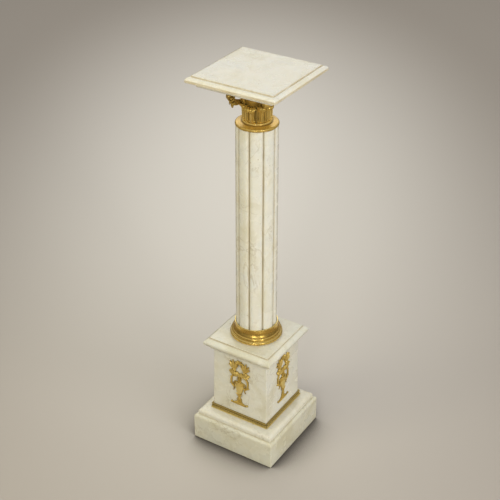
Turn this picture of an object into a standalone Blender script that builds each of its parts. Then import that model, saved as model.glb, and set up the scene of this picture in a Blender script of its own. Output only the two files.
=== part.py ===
# Column pedestal: marble base, lobed shaft and top, with gilt brass rings, capital and appliques.
# Metres, +Z up, origin at the centre of the foot. The faces are square to X and Y.

import math

import bmesh
import bpy
from mathutils import Matrix, Vector

# Clearance between pieces that touch, and the distance under which a joined casting's points merge
GAP = 0.0003
MERGE = 0.00001

# Marble base
PLINTH_HALF = 0.1277
PLINTH_FACE = 0.0714
PLINTH_ROLL_WIDTH = 0.0064
PLINTH_ROLL_HEIGHT = 0.0078
BASE_HALF = 0.1188
BASE_RISER = 0.0082
BASE_OVOLO_WIDTH = 0.0106
BASE_OVOLO_HEIGHT = 0.0088
DIE_FOOT_HALF = 0.0869
DIE_TOP_HALF = 0.0840
DIE_HEIGHT = 0.2030
ARRIS = 0.0012

# Cap of the die
CAP_HALF = 0.1055
CAP_COVE_HEIGHT = 0.0122
CAP_OVOLO_HEIGHT = 0.0108
CAP_NOSE = 0.0016
CAP_SLOPE_HEIGHT = 0.0111
CAP_FIELD_HALF = 0.0926
CAP_FIELD_RISE = 0.0029
CAP_FOOT_PROUD = 0.0016
CAP_STEP = 0.0016

# Top slabs
UNDER_SLAB_HALF = 0.1064
UNDER_SLAB_HEIGHT = 0.0132
UNDER_SLAB_ARRIS = 0.0024
TOP_HALF = 0.1258
TOP_NOSE = 0.0040
TOP_OVOLO_WIDTH = 0.0118
TOP_OVOLO_HEIGHT = 0.0095
TOP_FIELD_HALF = 0.1131
TOP_FIELD_RISE = 0.0025

# Shaft
LOBES = 9
SHAFT_FOOT_RADIUS = 0.0554
SHAFT_TOP_RADIUS = 0.0538
SHAFT_HEIGHT = 0.6135
LOBE_FALL = 0.0040
SLIT_DEPTH = 0.0017

# Turned brass
BASE_RING_RADIUS = 0.0716
BASE_RING_HEIGHT = 0.0417
BASE_RING_FLOOR = 0.0080
BASE_RING_LIP = 0.0022
SHAFT_CLEARANCE = 0.0010
NECKING_RADIUS = 0.0548
NECKING_HEIGHT = 0.0152
NECKING_BEAD_PROUD = 0.0012
TURNED_STEPS = 32

# Capital
CAPITAL_HEIGHT = 0.0936
CAPITAL_FOOT_RADIUS = 0.0338
CAPITAL_REACH = 0.0770
CAPITAL_TURN = math.radians(6.0)

# Gilt strips round the die's foot
BAND_HEIGHT = 0.0146
BAND_FOOT_DEPTH = 0.0052
BAND_TOP_DEPTH = 0.0040
BAND_RELIEF = 0.0013
BAND_REPEATS = 22

# Urn appliques
MOUNT_HEIGHT = 0.1500
MOUNT_WIDTH = 0.0590
MOUNT_DEPTH = 0.0066
MOUNT_FOOT_ABOVE_BAND = 0.0290

# Finishes: colour, metallic, roughness
MARBLE = ((0.80, 0.77, 0.66), 0.0, 0.25)
POLISHED_BRASS = ((0.80, 0.55, 0.18), 1.0, 0.16)
GILT_BRASS = ((0.66, 0.45, 0.14), 1.0, 0.38)

# Edges flatter than this shade as one surface on the turned, lobed and cast pieces
SMOOTH_BELOW = math.radians(35)

# Side 0 faces -Y, and each further side is a quarter turn on
SIDES = ("front", "right", "back", "left")
QUARTER_TURN = math.pi / 2


def clear_scene():
    for thing in list(bpy.data.objects):
        bpy.data.objects.remove(thing, do_unlink=True)


def make_material(name, finish):
    color, metallic, roughness = finish
    material = bpy.data.materials.new(name)
    material.use_nodes = True
    shader = material.node_tree.nodes["Principled BSDF"]
    shader.inputs["Base Color"].default_value = (*color, 1.0)
    shader.inputs["Metallic"].default_value = metallic
    shader.inputs["Roughness"].default_value = roughness
    material.diffuse_color = (*color, 1.0)
    return material


def add_object(name, mesh, finish, foot_z, smooth=False):
    mesh.materials.append(make_material(name, finish))
    if smooth:
        mesh.shade_smooth()
        mesh.set_sharp_from_angle(angle=SMOOTH_BELOW)
    thing = bpy.data.objects.new(name, mesh)
    thing.location.z = foot_z
    bpy.context.collection.objects.link(thing)
    return thing


def add_to_sides(name, mesh, finish, place, lean=0.0):
    # One copy a side: the place and the lean are those of the front copy, on a stand turned to its side.
    for side, word in enumerate(SIDES):
        stand = bpy.data.objects.new(f"{name}_{word}_stand", None)
        stand.rotation_euler.z = side * QUARTER_TURN
        bpy.context.collection.objects.link(stand)
        thing = add_object(f"{name}_{word}", mesh.copy(), finish, 0.0)
        thing.parent = stand
        thing.location = place
        thing.rotation_euler.x = lean


def mesh_from(name, bm):
    bmesh.ops.recalc_face_normals(bm, faces=bm.faces)
    mesh = bpy.data.meshes.new(name)
    bm.to_mesh(mesh)
    bm.free()
    return mesh


def bridge(bm, lower, upper):
    count = len(lower)
    for i in range(count):
        j = (i + 1) % count
        bm.faces.new((lower[i], lower[j], upper[j], upper[i]))


def loft(name, sections):
    # Joins point loops of equal length, with a cap at each end.
    bm = bmesh.new()
    rings = [[bm.verts.new(point) for point in section] for section in sections]
    for lower, upper in zip(rings, rings[1:]):
        bridge(bm, lower, upper)
    bm.faces.new(list(reversed(rings[0])))
    bm.faces.new(rings[-1])
    return mesh_from(name, bm)


def quarter(start, end, steps, convex=True):
    # Elliptical quarter turn between two (x, z) points, without the first point.
    # Convex leaves the start upright, concave leaves it level.
    (x0, z0), (x1, z1) = start, end
    points = []
    for i in range(1, steps + 1):
        turn = QUARTER_TURN * i / steps
        if convex:
            points.append((x1 + (x0 - x1) * math.cos(turn), z0 + (z1 - z0) * math.sin(turn)))
        else:
            points.append((x0 + (x1 - x0) * math.sin(turn), z1 + (z0 - z1) * math.cos(turn)))
    return points


def square_section(half, z):
    cut = half - ARRIS
    corners = ((half, -cut), (half, cut), (cut, half), (-cut, half),
               (-half, cut), (-half, -cut), (-cut, -half), (cut, -half))
    return [(x, y, z) for x, y in corners]


def square_block(name, profile, foot_z):
    # A square moulding: the profile is (half width, height above its foot), foot first.
    add_object(name, loft(name, [square_section(half, z) for half, z in profile]), MARBLE, foot_z)


def turned_section(radius, z, steps):
    return [(radius * math.cos(2 * math.pi * i / steps), radius * math.sin(2 * math.pi * i / steps), z)
            for i in range(steps)]


def turned(name, profile, foot_z):
    # A brass solid of revolution: the profile is (radius, height above its foot).
    sections = [turned_section(radius, z, TURNED_STEPS) for radius, z in profile]
    add_object(name, loft(name, sections), POLISHED_BRASS, foot_z, smooth=True)


def plinth(foot_z):
    top = PLINTH_FACE + PLINTH_ROLL_HEIGHT
    profile = [(PLINTH_HALF - ARRIS, 0.0), (PLINTH_HALF, ARRIS), (PLINTH_HALF, PLINTH_FACE)]
    profile += quarter(profile[-1], (PLINTH_HALF - PLINTH_ROLL_WIDTH, top), 4)
    square_block("plinth", profile, foot_z)
    return foot_z + top


def base_moulding(foot_z):
    top = BASE_RISER + BASE_OVOLO_HEIGHT
    profile = [(BASE_HALF, 0.0), (BASE_HALF, BASE_RISER)]
    profile += quarter(profile[-1], (BASE_HALF - BASE_OVOLO_WIDTH, top), 4)
    square_block("base_moulding", profile, foot_z)
    return foot_z + top


def die(foot_z):
    profile = [(DIE_FOOT_HALF, 0.0), (DIE_TOP_HALF, DIE_HEIGHT)]
    square_block("die", profile, foot_z)
    return foot_z + DIE_HEIGHT


def die_cap(foot_z):
    cove_half = (DIE_TOP_HALF + CAP_HALF) / 2
    nose_z = CAP_COVE_HEIGHT + CAP_OVOLO_HEIGHT
    slope_foot = nose_z + CAP_NOSE
    slope_top = slope_foot + CAP_SLOPE_HEIGHT
    profile = [(DIE_TOP_HALF + CAP_FOOT_PROUD, 0.0)]
    profile += quarter((cove_half, CAP_COVE_HEIGHT), profile[0], 3)[-2::-1]
    profile += [(cove_half, CAP_COVE_HEIGHT), (cove_half + CAP_STEP, CAP_COVE_HEIGHT)]
    profile += quarter(profile[-1], (CAP_HALF, nose_z), 3, convex=False)
    profile += [(CAP_HALF, slope_foot)]
    # The slope swells half as far as a quarter round would.
    steps = 4
    for i, (half, z) in enumerate(quarter((CAP_HALF, slope_foot), (CAP_FIELD_HALF, slope_top), steps), 1):
        chord_half = CAP_HALF + (CAP_FIELD_HALF - CAP_HALF) * i / steps
        chord_z = slope_foot + CAP_SLOPE_HEIGHT * i / steps
        profile.append(((half + chord_half) / 2, (z + chord_z) / 2))
    profile += [(CAP_FIELD_HALF, slope_top + CAP_FIELD_RISE)]
    square_block("die_cap", profile, foot_z)
    return foot_z + slope_top + CAP_FIELD_RISE


def under_slab(foot_z):
    profile = [(UNDER_SLAB_HALF - UNDER_SLAB_ARRIS, 0.0), (UNDER_SLAB_HALF, UNDER_SLAB_ARRIS),
               (UNDER_SLAB_HALF, UNDER_SLAB_HEIGHT)]
    square_block("under_slab", profile, foot_z)
    return foot_z + UNDER_SLAB_HEIGHT


def top_slab(foot_z):
    ovolo_top = TOP_NOSE + TOP_OVOLO_HEIGHT
    profile = [(TOP_HALF - ARRIS, 0.0), (TOP_HALF, ARRIS), (TOP_HALF, TOP_NOSE)]
    profile += quarter(profile[-1], (TOP_HALF - TOP_OVOLO_WIDTH, ovolo_top), 5)
    profile += [(TOP_FIELD_HALF, ovolo_top), (TOP_FIELD_HALF, ovolo_top + TOP_FIELD_RISE)]
    square_block("top_slab", profile, foot_z)


def base_ring(foot_z):
    # A turned cup: two rings with a groove, a scotia and a thin lip round the shaft's socket.
    # The mouldings are shares of the ring's height and of its spread beyond the lip.
    socket = SHAFT_FOOT_RADIUS + SHAFT_CLEARANCE
    lip = socket + BASE_RING_LIP
    spread = BASE_RING_RADIUS - lip
    tall = BASE_RING_HEIGHT
    profile = [(lip + 0.86 * spread, 0.0), (BASE_RING_RADIUS, 0.05 * tall), (BASE_RING_RADIUS, 0.17 * tall),
               (lip + 0.88 * spread, 0.235 * tall), (lip + 0.72 * spread, 0.235 * tall),
               (lip + 0.72 * spread, 0.27 * tall)]
    profile += quarter(profile[-1], (lip + 0.36 * spread, 0.46 * tall), 3)
    profile += [(lip + 0.30 * spread, 0.50 * tall), (lip + 0.04 * spread, 0.66 * tall),
                (lip - 0.03 * spread, 0.80 * tall), (lip - 0.03 * spread, 0.91 * tall), (lip, 0.94 * tall),
                (lip, tall), (socket, tall), (socket, BASE_RING_FLOOR)]
    turned("base_ring", profile, foot_z)
    return foot_z + BASE_RING_FLOOR


def shaft(foot_z):
    # Convex lobes parted by narrow slits, one of them on +X, tapering to the necking ring.
    # The marks are shares of half a lobe's width, with the slit at -1.
    marks = (-1.0, -0.93, -0.8, -0.55, -0.25, 0.0, 0.25, 0.55, 0.8, 0.93)
    half_lobe = math.pi / LOBES

    def section(radius, z):
        points = []
        for lobe in range(LOBES):
            for mark in marks:
                angle = (2 * lobe + 1 + mark) * half_lobe
                reach = radius - LOBE_FALL * abs(mark) ** 3
                if mark == -1.0:
                    reach -= SLIT_DEPTH
                points.append((reach * math.cos(angle), reach * math.sin(angle), z))
        return points

    ends = [section(SHAFT_FOOT_RADIUS, 0.0), section(SHAFT_TOP_RADIUS, SHAFT_HEIGHT)]
    add_object("shaft", loft("shaft", ends), MARBLE, foot_z, smooth=True)
    return foot_z + SHAFT_HEIGHT


def necking_ring(foot_z):
    # A disc with a rounded rim, dished up to a bead at the capital's foot, in shares of its own size.
    rim, tall = NECKING_RADIUS, NECKING_HEIGHT
    bead = CAPITAL_FOOT_RADIUS + NECKING_BEAD_PROUD
    profile = [(0.97 * rim, 0.0), (rim, 0.15 * tall), (rim, 0.34 * tall), (0.97 * rim, 0.47 * tall),
               (0.90 * rim, 0.50 * tall), (0.80 * rim, 0.58 * tall), (bead, 0.66 * tall),
               (bead + 0.02 * rim, 0.80 * tall), (bead - 0.01 * rim, 0.95 * tall), (bead - 0.05 * rim, tall)]
    turned("necking_ring", profile, foot_z)
    return foot_z + tall


def union(name, pieces):
    # Joins closed meshes into one body.
    parts = [bpy.data.objects.new(f"{name}_part", mesh) for mesh in pieces]
    group = bpy.data.collections.new(f"{name}_parts")
    bpy.context.scene.collection.children.link(group)
    base = parts[0]
    bpy.context.collection.objects.link(base)
    for part in parts[1:]:
        group.objects.link(part)
    join = base.modifiers.new("union", "BOOLEAN")
    join.operation = "UNION"
    join.solver = "EXACT"
    join.operand_type = "COLLECTION"
    join.collection = group
    bpy.context.view_layer.update()
    mesh = bpy.data.meshes.new_from_object(base.evaluated_get(bpy.context.evaluated_depsgraph_get()))
    for part in parts:
        bpy.data.objects.remove(part, do_unlink=True)
    bpy.data.collections.remove(group)
    mesh.name = name
    return mesh


def tidy_joins(mesh, flat_back=False):
    # Merges the slivers a union leaves; a flat back at y = 0 is filled again as one face.
    bm = bmesh.new()
    bm.from_mesh(mesh)
    bmesh.ops.remove_doubles(bm, verts=bm.verts, dist=MERGE)
    bmesh.ops.dissolve_degenerate(bm, dist=MERGE, edges=bm.edges)
    if flat_back:
        back = [face for face in bm.faces if all(abs(vert.co.y) < MERGE for vert in face.verts)]
        bmesh.ops.delete(bm, geom=back, context="FACES")
        rim = [edge for edge in bm.edges if edge.is_boundary]
        bmesh.ops.triangle_fill(bm, use_beauty=True, edges=rim)
        bmesh.ops.recalc_face_normals(bm, faces=bm.faces)
    bmesh.ops.triangulate(bm, faces=bm.faces)
    bm.to_mesh(mesh)
    bm.free()
    return mesh


def outward(path):
    # Unit normals of a 2D path, to its right as it runs.
    normals = []
    for i in range(len(path)):
        along = Vector(path[min(i + 1, len(path) - 1)]) - Vector(path[max(i - 1, 0)])
        normals.append(Vector((along.y, -along.x)).normalized())
    return normals


def turned_copy(mesh, angle):
    # A copy turned about the column's axis, so that what lay along x lies at the angle.
    copy = mesh.copy()
    copy.transform(Matrix.Rotation(angle, 4, "Z"))
    return copy


def leaf(path, widths, thickness, rib):
    # A ribbed leaf: the path is (radius, height) up the bell and over, with a width at each point.
    sections = []
    for (radius, z), width, out in zip(path, widths, outward(path)):
        half = width / 2
        back = 0.8 * half
        profile = ((-half, 0.0), (0.0, rib), (half, 0.0), (back, -thickness), (0.0, -thickness - rib / 2),
                   (-back, -thickness))
        sections.append([(radius + out.x * lift, across, z + out.y * lift) for across, lift in profile])
    return loft("leaf", sections)


def scroll(radius, height, size, breadth):
    # A volute: a disc whose axis runs round the column, with a sunk ring about its eye.
    # The shape is (share of the size, share of the breadth) from the eye to the rim, on each side.
    steps = 10
    shape = ((0.34, 0.60), (0.60, 0.32), (1.0, 0.44))
    sides = [(share, -depth) for share, depth in shape]
    sides += [(share, depth) for share, depth in reversed(shape)]
    sections = []
    for share, depth in sides:
        circle = turned_section(size * share, breadth * depth, steps)
        sections.append([(radius + x, side, height + y) for x, y, side in circle])
    return loft("scroll", sections)


def strap(path, width, thickness):
    # A flat band along a (radius, height) path.
    sections = []
    for spot, out in zip(path, outward(path)):
        outer = Vector(spot) + out * thickness / 2
        inner = Vector(spot) - out * thickness / 2
        sections.append([(outer.x, -width / 2, outer.y), (outer.x, width / 2, outer.y),
                         (inner.x, width / 2, inner.y), (inner.x, -width / 2, inner.y)])
    return loft("strap", sections)


def bell():
    tall, foot = CAPITAL_HEIGHT, CAPITAL_FOOT_RADIUS
    profile = [(foot, 0.0), (foot, 0.07 * tall), (0.94 * foot, 0.40 * tall), (1.0 * foot, 0.64 * tall),
               (1.18 * foot, 0.88 * tall)]
    return loft("bell", [turned_section(radius, z, TURNED_STEPS // 2) for radius, z in profile])


def abacus():
    # A square plate with hollowed sides and cut corners, stepped out at its top.
    # The levels are (share of the outline, share of the capital's height).
    tall, reach = CAPITAL_HEIGHT, CAPITAL_REACH
    corner = reach * math.sqrt(0.5)
    nib = 0.085 * reach
    hollow = 0.30 * reach
    outline = []
    for side in range(len(SIDES)):
        turn = Matrix.Rotation(side * QUARTER_TURN, 2)
        for mark in (-1.0, -0.5, 0.0, 0.5, 1.0):
            out = corner + nib - hollow * (1 - mark ** 2)
            outline.append(turn @ Vector((out, mark * (corner - nib))))
    levels = ((0.91, 0.835), (0.94, 0.91), (1.0, 0.93), (1.0, 1.0))
    return loft("abacus", [[(p.x * share, p.y * share, z * tall) for p in outline] for share, z in levels])


def scaled(shares, width, height):
    return [(x * width, z * height) for x, z in shares]


def capital(foot_z):
    # The casting's leaves and volutes are shares of its height and of its foot radius.
    # It stands a little turned under the square top.
    tall, foot, reach = CAPITAL_HEIGHT, CAPITAL_FOOT_RADIUS, CAPITAL_REACH
    thick, rib = 0.12 * foot, 0.06 * foot
    face_path = scaled(((1.00, 0.03), (1.01, 0.17), (1.03, 0.31), (1.13, 0.42), (1.32, 0.46), (1.46, 0.40),
                        (1.43, 0.33)), foot, tall)
    face_widths = [share * foot for share in (0.66, 0.80, 0.72, 0.92, 0.80, 0.84, 0.40)]
    face_leaf = leaf(face_path, face_widths, thick, rib)
    corner_path = scaled(((1.00, 0.03), (1.02, 0.19), (1.11, 0.36), (1.38, 0.50), (1.68, 0.53), (1.92, 0.46),
                          (1.90, 0.38)), foot, tall)
    corner_widths = [share * foot for share in (0.62, 0.78, 0.68, 0.86, 0.72, 0.74, 0.34)]
    corner_leaf = leaf(corner_path, corner_widths, thick, rib)
    sheath_path = scaled(((1.00, 0.02), (1.01, 0.14), (1.04, 0.24), (1.15, 0.29), (1.18, 0.25)), foot, tall)
    sheath = leaf(sheath_path, [share * foot for share in (0.30, 0.36, 0.42, 0.40, 0.20)], thick, rib)

    volute_size = 0.25 * foot
    eye = reach - 0.98 * volute_size
    volute = scroll(eye, 0.62 * tall, volute_size, 0.38 * foot)
    stem_path = scaled(((1.00, 0.50), (1.14, 0.66), (1.40, 0.77), (1.70, 0.78)), foot, tall)
    stem = strap(stem_path + [(eye, 0.69 * tall)], 0.36 * foot, 0.17 * foot)
    rosette = bud(0.0, 0.90 * tall, 0.22 * foot, 0.30 * foot)
    rosette.transform(Matrix.Rotation(QUARTER_TURN, 4, "Z") @ Matrix.Translation((0, -foot, 0)))

    pieces = [bell(), abacus()]
    for side in range(len(SIDES)):
        face = side * QUARTER_TURN
        corner = face + QUARTER_TURN / 2
        pieces += [turned_copy(mesh, face) for mesh in (face_leaf, rosette)]
        pieces += [turned_copy(mesh, corner) for mesh in (corner_leaf, volute, stem)]
        pieces += [turned_copy(sheath, face + hand * QUARTER_TURN / 4) for hand in (-1, 1)]
    mesh = tidy_joins(union("capital", pieces))
    casting = add_object("capital", mesh, POLISHED_BRASS, foot_z, smooth=True)
    casting.rotation_euler.z = CAPITAL_TURN
    return foot_z + tall


def bands(foot_z):
    # Strips with a diamond-point running relief, mitred a clearance apart where they meet.
    back = DIE_FOOT_HALF + GAP
    foot_out, top_out = back + BAND_FOOT_DEPTH, back + BAND_TOP_DEPTH
    mitre_cut = GAP / math.sqrt(2)
    bm = bmesh.new()

    def row(out, z, count):
        half = out - mitre_cut
        return [bm.verts.new((half * (2 * i / count - 1), -out, z)) for i in range(count + 1)]

    low_front = row(foot_out, 0.0, BAND_REPEATS)
    high_front = row(top_out, BAND_HEIGHT, BAND_REPEATS)
    low_back = row(back, 0.0, 1)
    high_back = row(back, BAND_HEIGHT, 1)
    for i in range(BAND_REPEATS):
        cell = (low_front[i], low_front[i + 1], high_front[i + 1], high_front[i])
        centre = sum((v.co for v in cell), Vector()) / 4
        peak = bm.verts.new(centre + Vector((0, -BAND_RELIEF, 0)))
        for a, b in zip(cell, cell[1:] + cell[:1]):
            bm.faces.new((a, b, peak))
    bm.faces.new(low_front + [low_back[1], low_back[0]])
    bm.faces.new(high_front + [high_back[1], high_back[0]])
    bm.faces.new((low_back[0], low_back[1], high_back[1], high_back[0]))
    bm.faces.new((low_front[0], high_front[0], high_back[0], low_back[0]))
    bm.faces.new((low_front[-1], high_front[-1], high_back[1], low_back[1]))
    bmesh.ops.triangulate(bm, faces=bm.faces)
    add_to_sides("band", mesh_from("band", bm), GILT_BRASS, (0, 0, foot_z))
    return foot_z + BAND_HEIGHT


def ridge(path, half_widths, height):
    # A ridged bar along a path across the applique's face: wider stretches stand higher.
    sections = []
    widest = max(half_widths)
    for spot, half, out in zip(path, half_widths, outward(path)):
        left = Vector(spot) - out * half
        right = Vector(spot) + out * half
        crown = -height * (0.45 + 0.55 * half / widest)
        sections.append([(left.x, 0.0, left.y), (spot[0], crown, spot[1]), (right.x, 0.0, right.y)])
    return loft("ridge", sections)


def bud(x, z, radius, height):
    # A faceted boss: the levels are (share of the radius, share of the height).
    sides = 6
    levels = ((1.0, 0.0), (0.6, 0.8), (0.2, 1.0))
    circles = [turned_section(radius * share, height * lift, sides) for share, lift in levels]
    return loft("bud", [[(x + across, -lift, z + up) for across, up, lift in circle] for circle in circles])


def spray(foot, tip, half_width, height):
    # A toothed leaf with a midrib, from its foot to its tip.
    teeth = 3
    start, end = Vector(foot), Vector(tip)
    along = end - start
    side = Vector((-along.y, along.x)).normalized() * half_width
    spread = []
    for i in range(1, 2 * teeth):
        share = i / (2 * teeth)
        swell = math.sin(math.pi * share ** 0.8)
        notch = 1.0 if i % 2 else 0.78
        spread.append((share, notch * swell))
    left = [start + along * share + side * wide for share, wide in spread]
    right = [start + along * share - side * wide for share, wide in spread]
    edge = 0.45 * height
    bm = bmesh.new()

    def corners(spots, lift):
        return [bm.verts.new((spot.x, -lift, spot.y)) for spot in spots]

    outline = [start] + right + [end] + left[::-1]
    low = corners(outline, 0.0)
    high = corners(outline, edge)
    rib = corners([start + along * share for share, _ in spread], height)
    bm.faces.new(low)
    bridge(bm, low, high)
    count = len(rib)
    first, last = high[0], high[count + 1]
    for row in (high[1:count + 1], high[:count + 1:-1]):
        bm.faces.new((first, row[0], rib[0]))
        for i in range(count - 1):
            bm.faces.new((row[i], row[i + 1], rib[i + 1], rib[i]))
        bm.faces.new((row[-1], last, rib[-1]))
    return mesh_from("spray", bm)


def vase(profile, height):
    # A half-round body, as deep as it is wide up to the relief's height.
    widest = max(half for half, _ in profile)
    steps = 5
    turns = [math.pi * i / steps for i in range(steps + 1)]
    sections = []
    for half, z in profile:
        lift = height * min(1.0, 0.3 + half / widest)
        sections.append([(-half * math.cos(turn), -lift * math.sin(turn), z) for turn in turns])
    return loft("vase", sections)


def plate(outline, height):
    # A flat shape with its front face drawn in.
    middle = sum(z for _, z in outline) / len(outline)
    drawn_in = 0.8
    back = [(x, 0.0, z) for x, z in outline]
    edge = [(x, -height / 2, z) for x, z in outline]
    front = [(drawn_in * x, -height, middle + drawn_in * (z - middle)) for x, z in outline]
    return loft("plate", [back, edge, front])


def urn_mount_mesh():
    # Local x runs across the face, local z up it, and the relief stands out along -y.
    # The casting's outlines are shares of its half width and of its height.
    wide, tall, deep = MOUNT_WIDTH / 2, MOUNT_HEIGHT, MOUNT_DEPTH

    def both(shares):
        return [(-x, z) for x, z in reversed(shares) if x] + list(shares)

    foot = both(((0.23, 0.140), (0.28, 0.100), (0.44, 0.062), (0.74, 0.046), (0.86, 0.012)))
    body = ((0.11, 0.128), (0.21, 0.152), (0.11, 0.190), (0.20, 0.235), (0.38, 0.320), (0.50, 0.430),
            (0.53, 0.500), (0.38, 0.535), (0.17, 0.560), (0.14, 0.640))
    garland = both(((0.0, 0.712), (0.20, 0.690), (0.42, 0.684), (0.62, 0.690), (0.80, 0.712), (0.92, 0.744)))
    arch = both(((0.0, 0.962), (0.22, 0.955), (0.40, 0.900), (0.60, 0.845), (0.64, 0.700)))
    pieces = [plate(scaled(foot, wide, tall), 0.62 * deep), vase(scaled(body, wide, tall), deep)]
    garland_widths = [share * wide for share in (0.10, 0.22, 0.15, 0.22, 0.15, 0.20)]
    pieces.append(ridge(scaled(garland, wide, tall), garland_widths + garland_widths[-2::-1], 0.90 * deep))
    arch_widths = [share * wide for share in (0.10, 0.08, 0.10, 0.16, 0.17)]
    pieces.append(ridge(scaled(arch, wide, tall), arch_widths + arch_widths[-2::-1], 0.80 * deep))
    for hand in (-1, 1):
        handle = ((0.36, 0.400), (0.74, 0.405), (0.94, 0.470), (0.90, 0.570), (0.74, 0.620), (0.86, 0.700))
        ribbon = ((0.46, 0.510), (0.66, 0.455), (0.60, 0.370), (0.70, 0.310))
        pieces.append(ridge(scaled(handle, hand * wide, tall),
                            [share * wide for share in (0.07, 0.09, 0.09, 0.08, 0.10, 0.08)], 0.62 * deep))
        pieces.append(ridge(scaled(ribbon, hand * wide, tall),
                            [share * wide for share in (0.10, 0.08, 0.08, 0.05)], 0.50 * deep))
        pieces.append(bud(hand * 0.90 * wide, 0.036 * tall, 0.13 * wide, 0.70 * deep))
        pieces.append(spray((hand * 0.64 * wide, 0.780 * tall), (hand * 0.78 * wide, tall),
                            0.27 * wide, 0.90 * deep))
    return tidy_joins(union("urn_mount", pieces), flat_back=True)


def urn_mounts(die_foot_z, foot_z):
    # The appliques lean back with the die's taper, a clearance off its face.
    lean = math.atan2(DIE_FOOT_HALF - DIE_TOP_HALF, DIE_HEIGHT)
    face = DIE_FOOT_HALF - (foot_z - die_foot_z) * math.tan(lean)
    add_to_sides("urn_mount", urn_mount_mesh(), GILT_BRASS, (0, -face - GAP / math.cos(lean), foot_z), -lean)


def build():
    clear_scene()
    plinth_top = plinth(0.0)
    base_top = base_moulding(plinth_top + GAP)
    die_foot = base_top + GAP
    die_top = die(die_foot)
    band_top = bands(die_foot)
    urn_mounts(die_foot, band_top + MOUNT_FOOT_ABOVE_BAND)
    cap_top = die_cap(die_top + GAP)
    seat = base_ring(cap_top + GAP)
    shaft_top = shaft(seat + GAP)
    necking_top = necking_ring(shaft_top + GAP)
    capital_top = capital(necking_top + GAP)
    slab_top = under_slab(capital_top + GAP)
    top_slab(slab_top + GAP)


build()
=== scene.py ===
import math

import bmesh
import bpy
from mathutils import Matrix, Vector


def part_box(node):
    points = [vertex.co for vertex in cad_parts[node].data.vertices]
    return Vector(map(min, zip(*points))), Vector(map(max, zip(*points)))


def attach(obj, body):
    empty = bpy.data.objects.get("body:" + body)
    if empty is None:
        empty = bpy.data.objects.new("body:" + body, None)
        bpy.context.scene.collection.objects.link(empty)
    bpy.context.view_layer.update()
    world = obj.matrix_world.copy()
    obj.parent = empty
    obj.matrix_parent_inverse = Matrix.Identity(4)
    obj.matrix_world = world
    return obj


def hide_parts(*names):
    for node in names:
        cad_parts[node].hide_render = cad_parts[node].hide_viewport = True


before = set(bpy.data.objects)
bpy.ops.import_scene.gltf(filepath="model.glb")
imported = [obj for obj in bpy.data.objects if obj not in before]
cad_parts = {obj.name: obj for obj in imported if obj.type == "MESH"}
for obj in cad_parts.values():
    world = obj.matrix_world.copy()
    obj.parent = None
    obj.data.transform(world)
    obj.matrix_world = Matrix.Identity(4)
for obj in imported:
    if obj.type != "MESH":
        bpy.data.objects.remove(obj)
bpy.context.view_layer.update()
quarterTurn = math.pi / 2
sides = ("front", "right", "back", "left")


# Node helpers

def addNode(tree, kind, inputs=None, **settings):
    made = tree.nodes.new(kind)
    for key, value in settings.items():
        setattr(made, key, value)
    for key, value in (inputs or {}).items():
        if isinstance(value, bpy.types.NodeSocket):
            tree.links.new(value, made.inputs[key])
        else:
            made.inputs[key].default_value = value
    return made


def mathOf(tree, operation, first, second=0.0):
    return addNode(tree, "ShaderNodeMath", {0: first, 1: second}, operation=operation).outputs[0]


def plus(tree, first, second):
    return mathOf(tree, "ADD", first, second)


def minus(tree, first, second):
    return mathOf(tree, "SUBTRACT", first, second)


def times(tree, first, second):
    return mathOf(tree, "MULTIPLY", first, second)


def colorRamp(tree, factor, stops):
    made = addNode(tree, "ShaderNodeValToRGB", {"Fac": factor})
    ramp = made.color_ramp
    while len(ramp.elements) < len(stops):
        ramp.elements.new(1.0)
    for element, (place, color) in zip(ramp.elements, stops):
        element.position = place
        element.color = (*color, 1.0)
    return made.outputs["Color"]


def mixColor(tree, factor, first, second):
    made = addNode(tree, "ShaderNodeMix", data_type="RGBA")
    for index, value in ((0, factor), (6, first), (7, second)):
        if isinstance(value, bpy.types.NodeSocket):
            tree.links.new(value, made.inputs[index])
        else:
            made.inputs[index].default_value = value if index == 0 else (*value, 1.0)
    return made.outputs[2]


def ramped(tree, value, low, high, start=0.0, end=1.0):
    # Smooth step of a value from low to high, mapped to start and end.
    inputs = {"Value": value, "From Min": low, "From Max": high, "To Min": start, "To Max": end}
    return addNode(tree, "ShaderNodeMapRange", inputs, interpolation_type="SMOOTHSTEP").outputs["Result"]


def placedCoordinates(tree, shift, turn=(0.0, 0.0, 0.0), scale=(1.0, 1.0, 1.0)):
    base = addNode(tree, "ShaderNodeTexCoord").outputs["Object"]
    inputs = {"Vector": base, "Location": shift, "Rotation": turn, "Scale": scale}
    return addNode(tree, "ShaderNodeMapping", inputs).outputs["Vector"]


def noiseOf(tree, where, scale, detail=3.0, roughness=0.5, distortion=0.0):
    inputs = {"Vector": where, "Scale": scale, "Detail": detail, "Roughness": roughness,
              "Distortion": distortion}
    return addNode(tree, "ShaderNodeTexNoise", inputs).outputs["Fac"]


def attributeShare(tree, name):
    # A point's share of a named attribute, such as its grime with painted shade and its wear with painted
    # highlight, which is nothing on a mesh without the values.
    return addNode(tree, "ShaderNodeAttribute", attribute_name=name).outputs["Fac"]


def newMaterial(name, metallic):
    material = bpy.data.materials.new(name)
    material.use_nodes = True
    tree = material.node_tree
    shader = tree.nodes["Principled BSDF"]
    shader.inputs["Metallic"].default_value = metallic
    return material, tree, shader


# Marble: cream ground with warm clouds, thin veins, brown specks, and old polish with grime and painted
# shade in the steps

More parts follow.
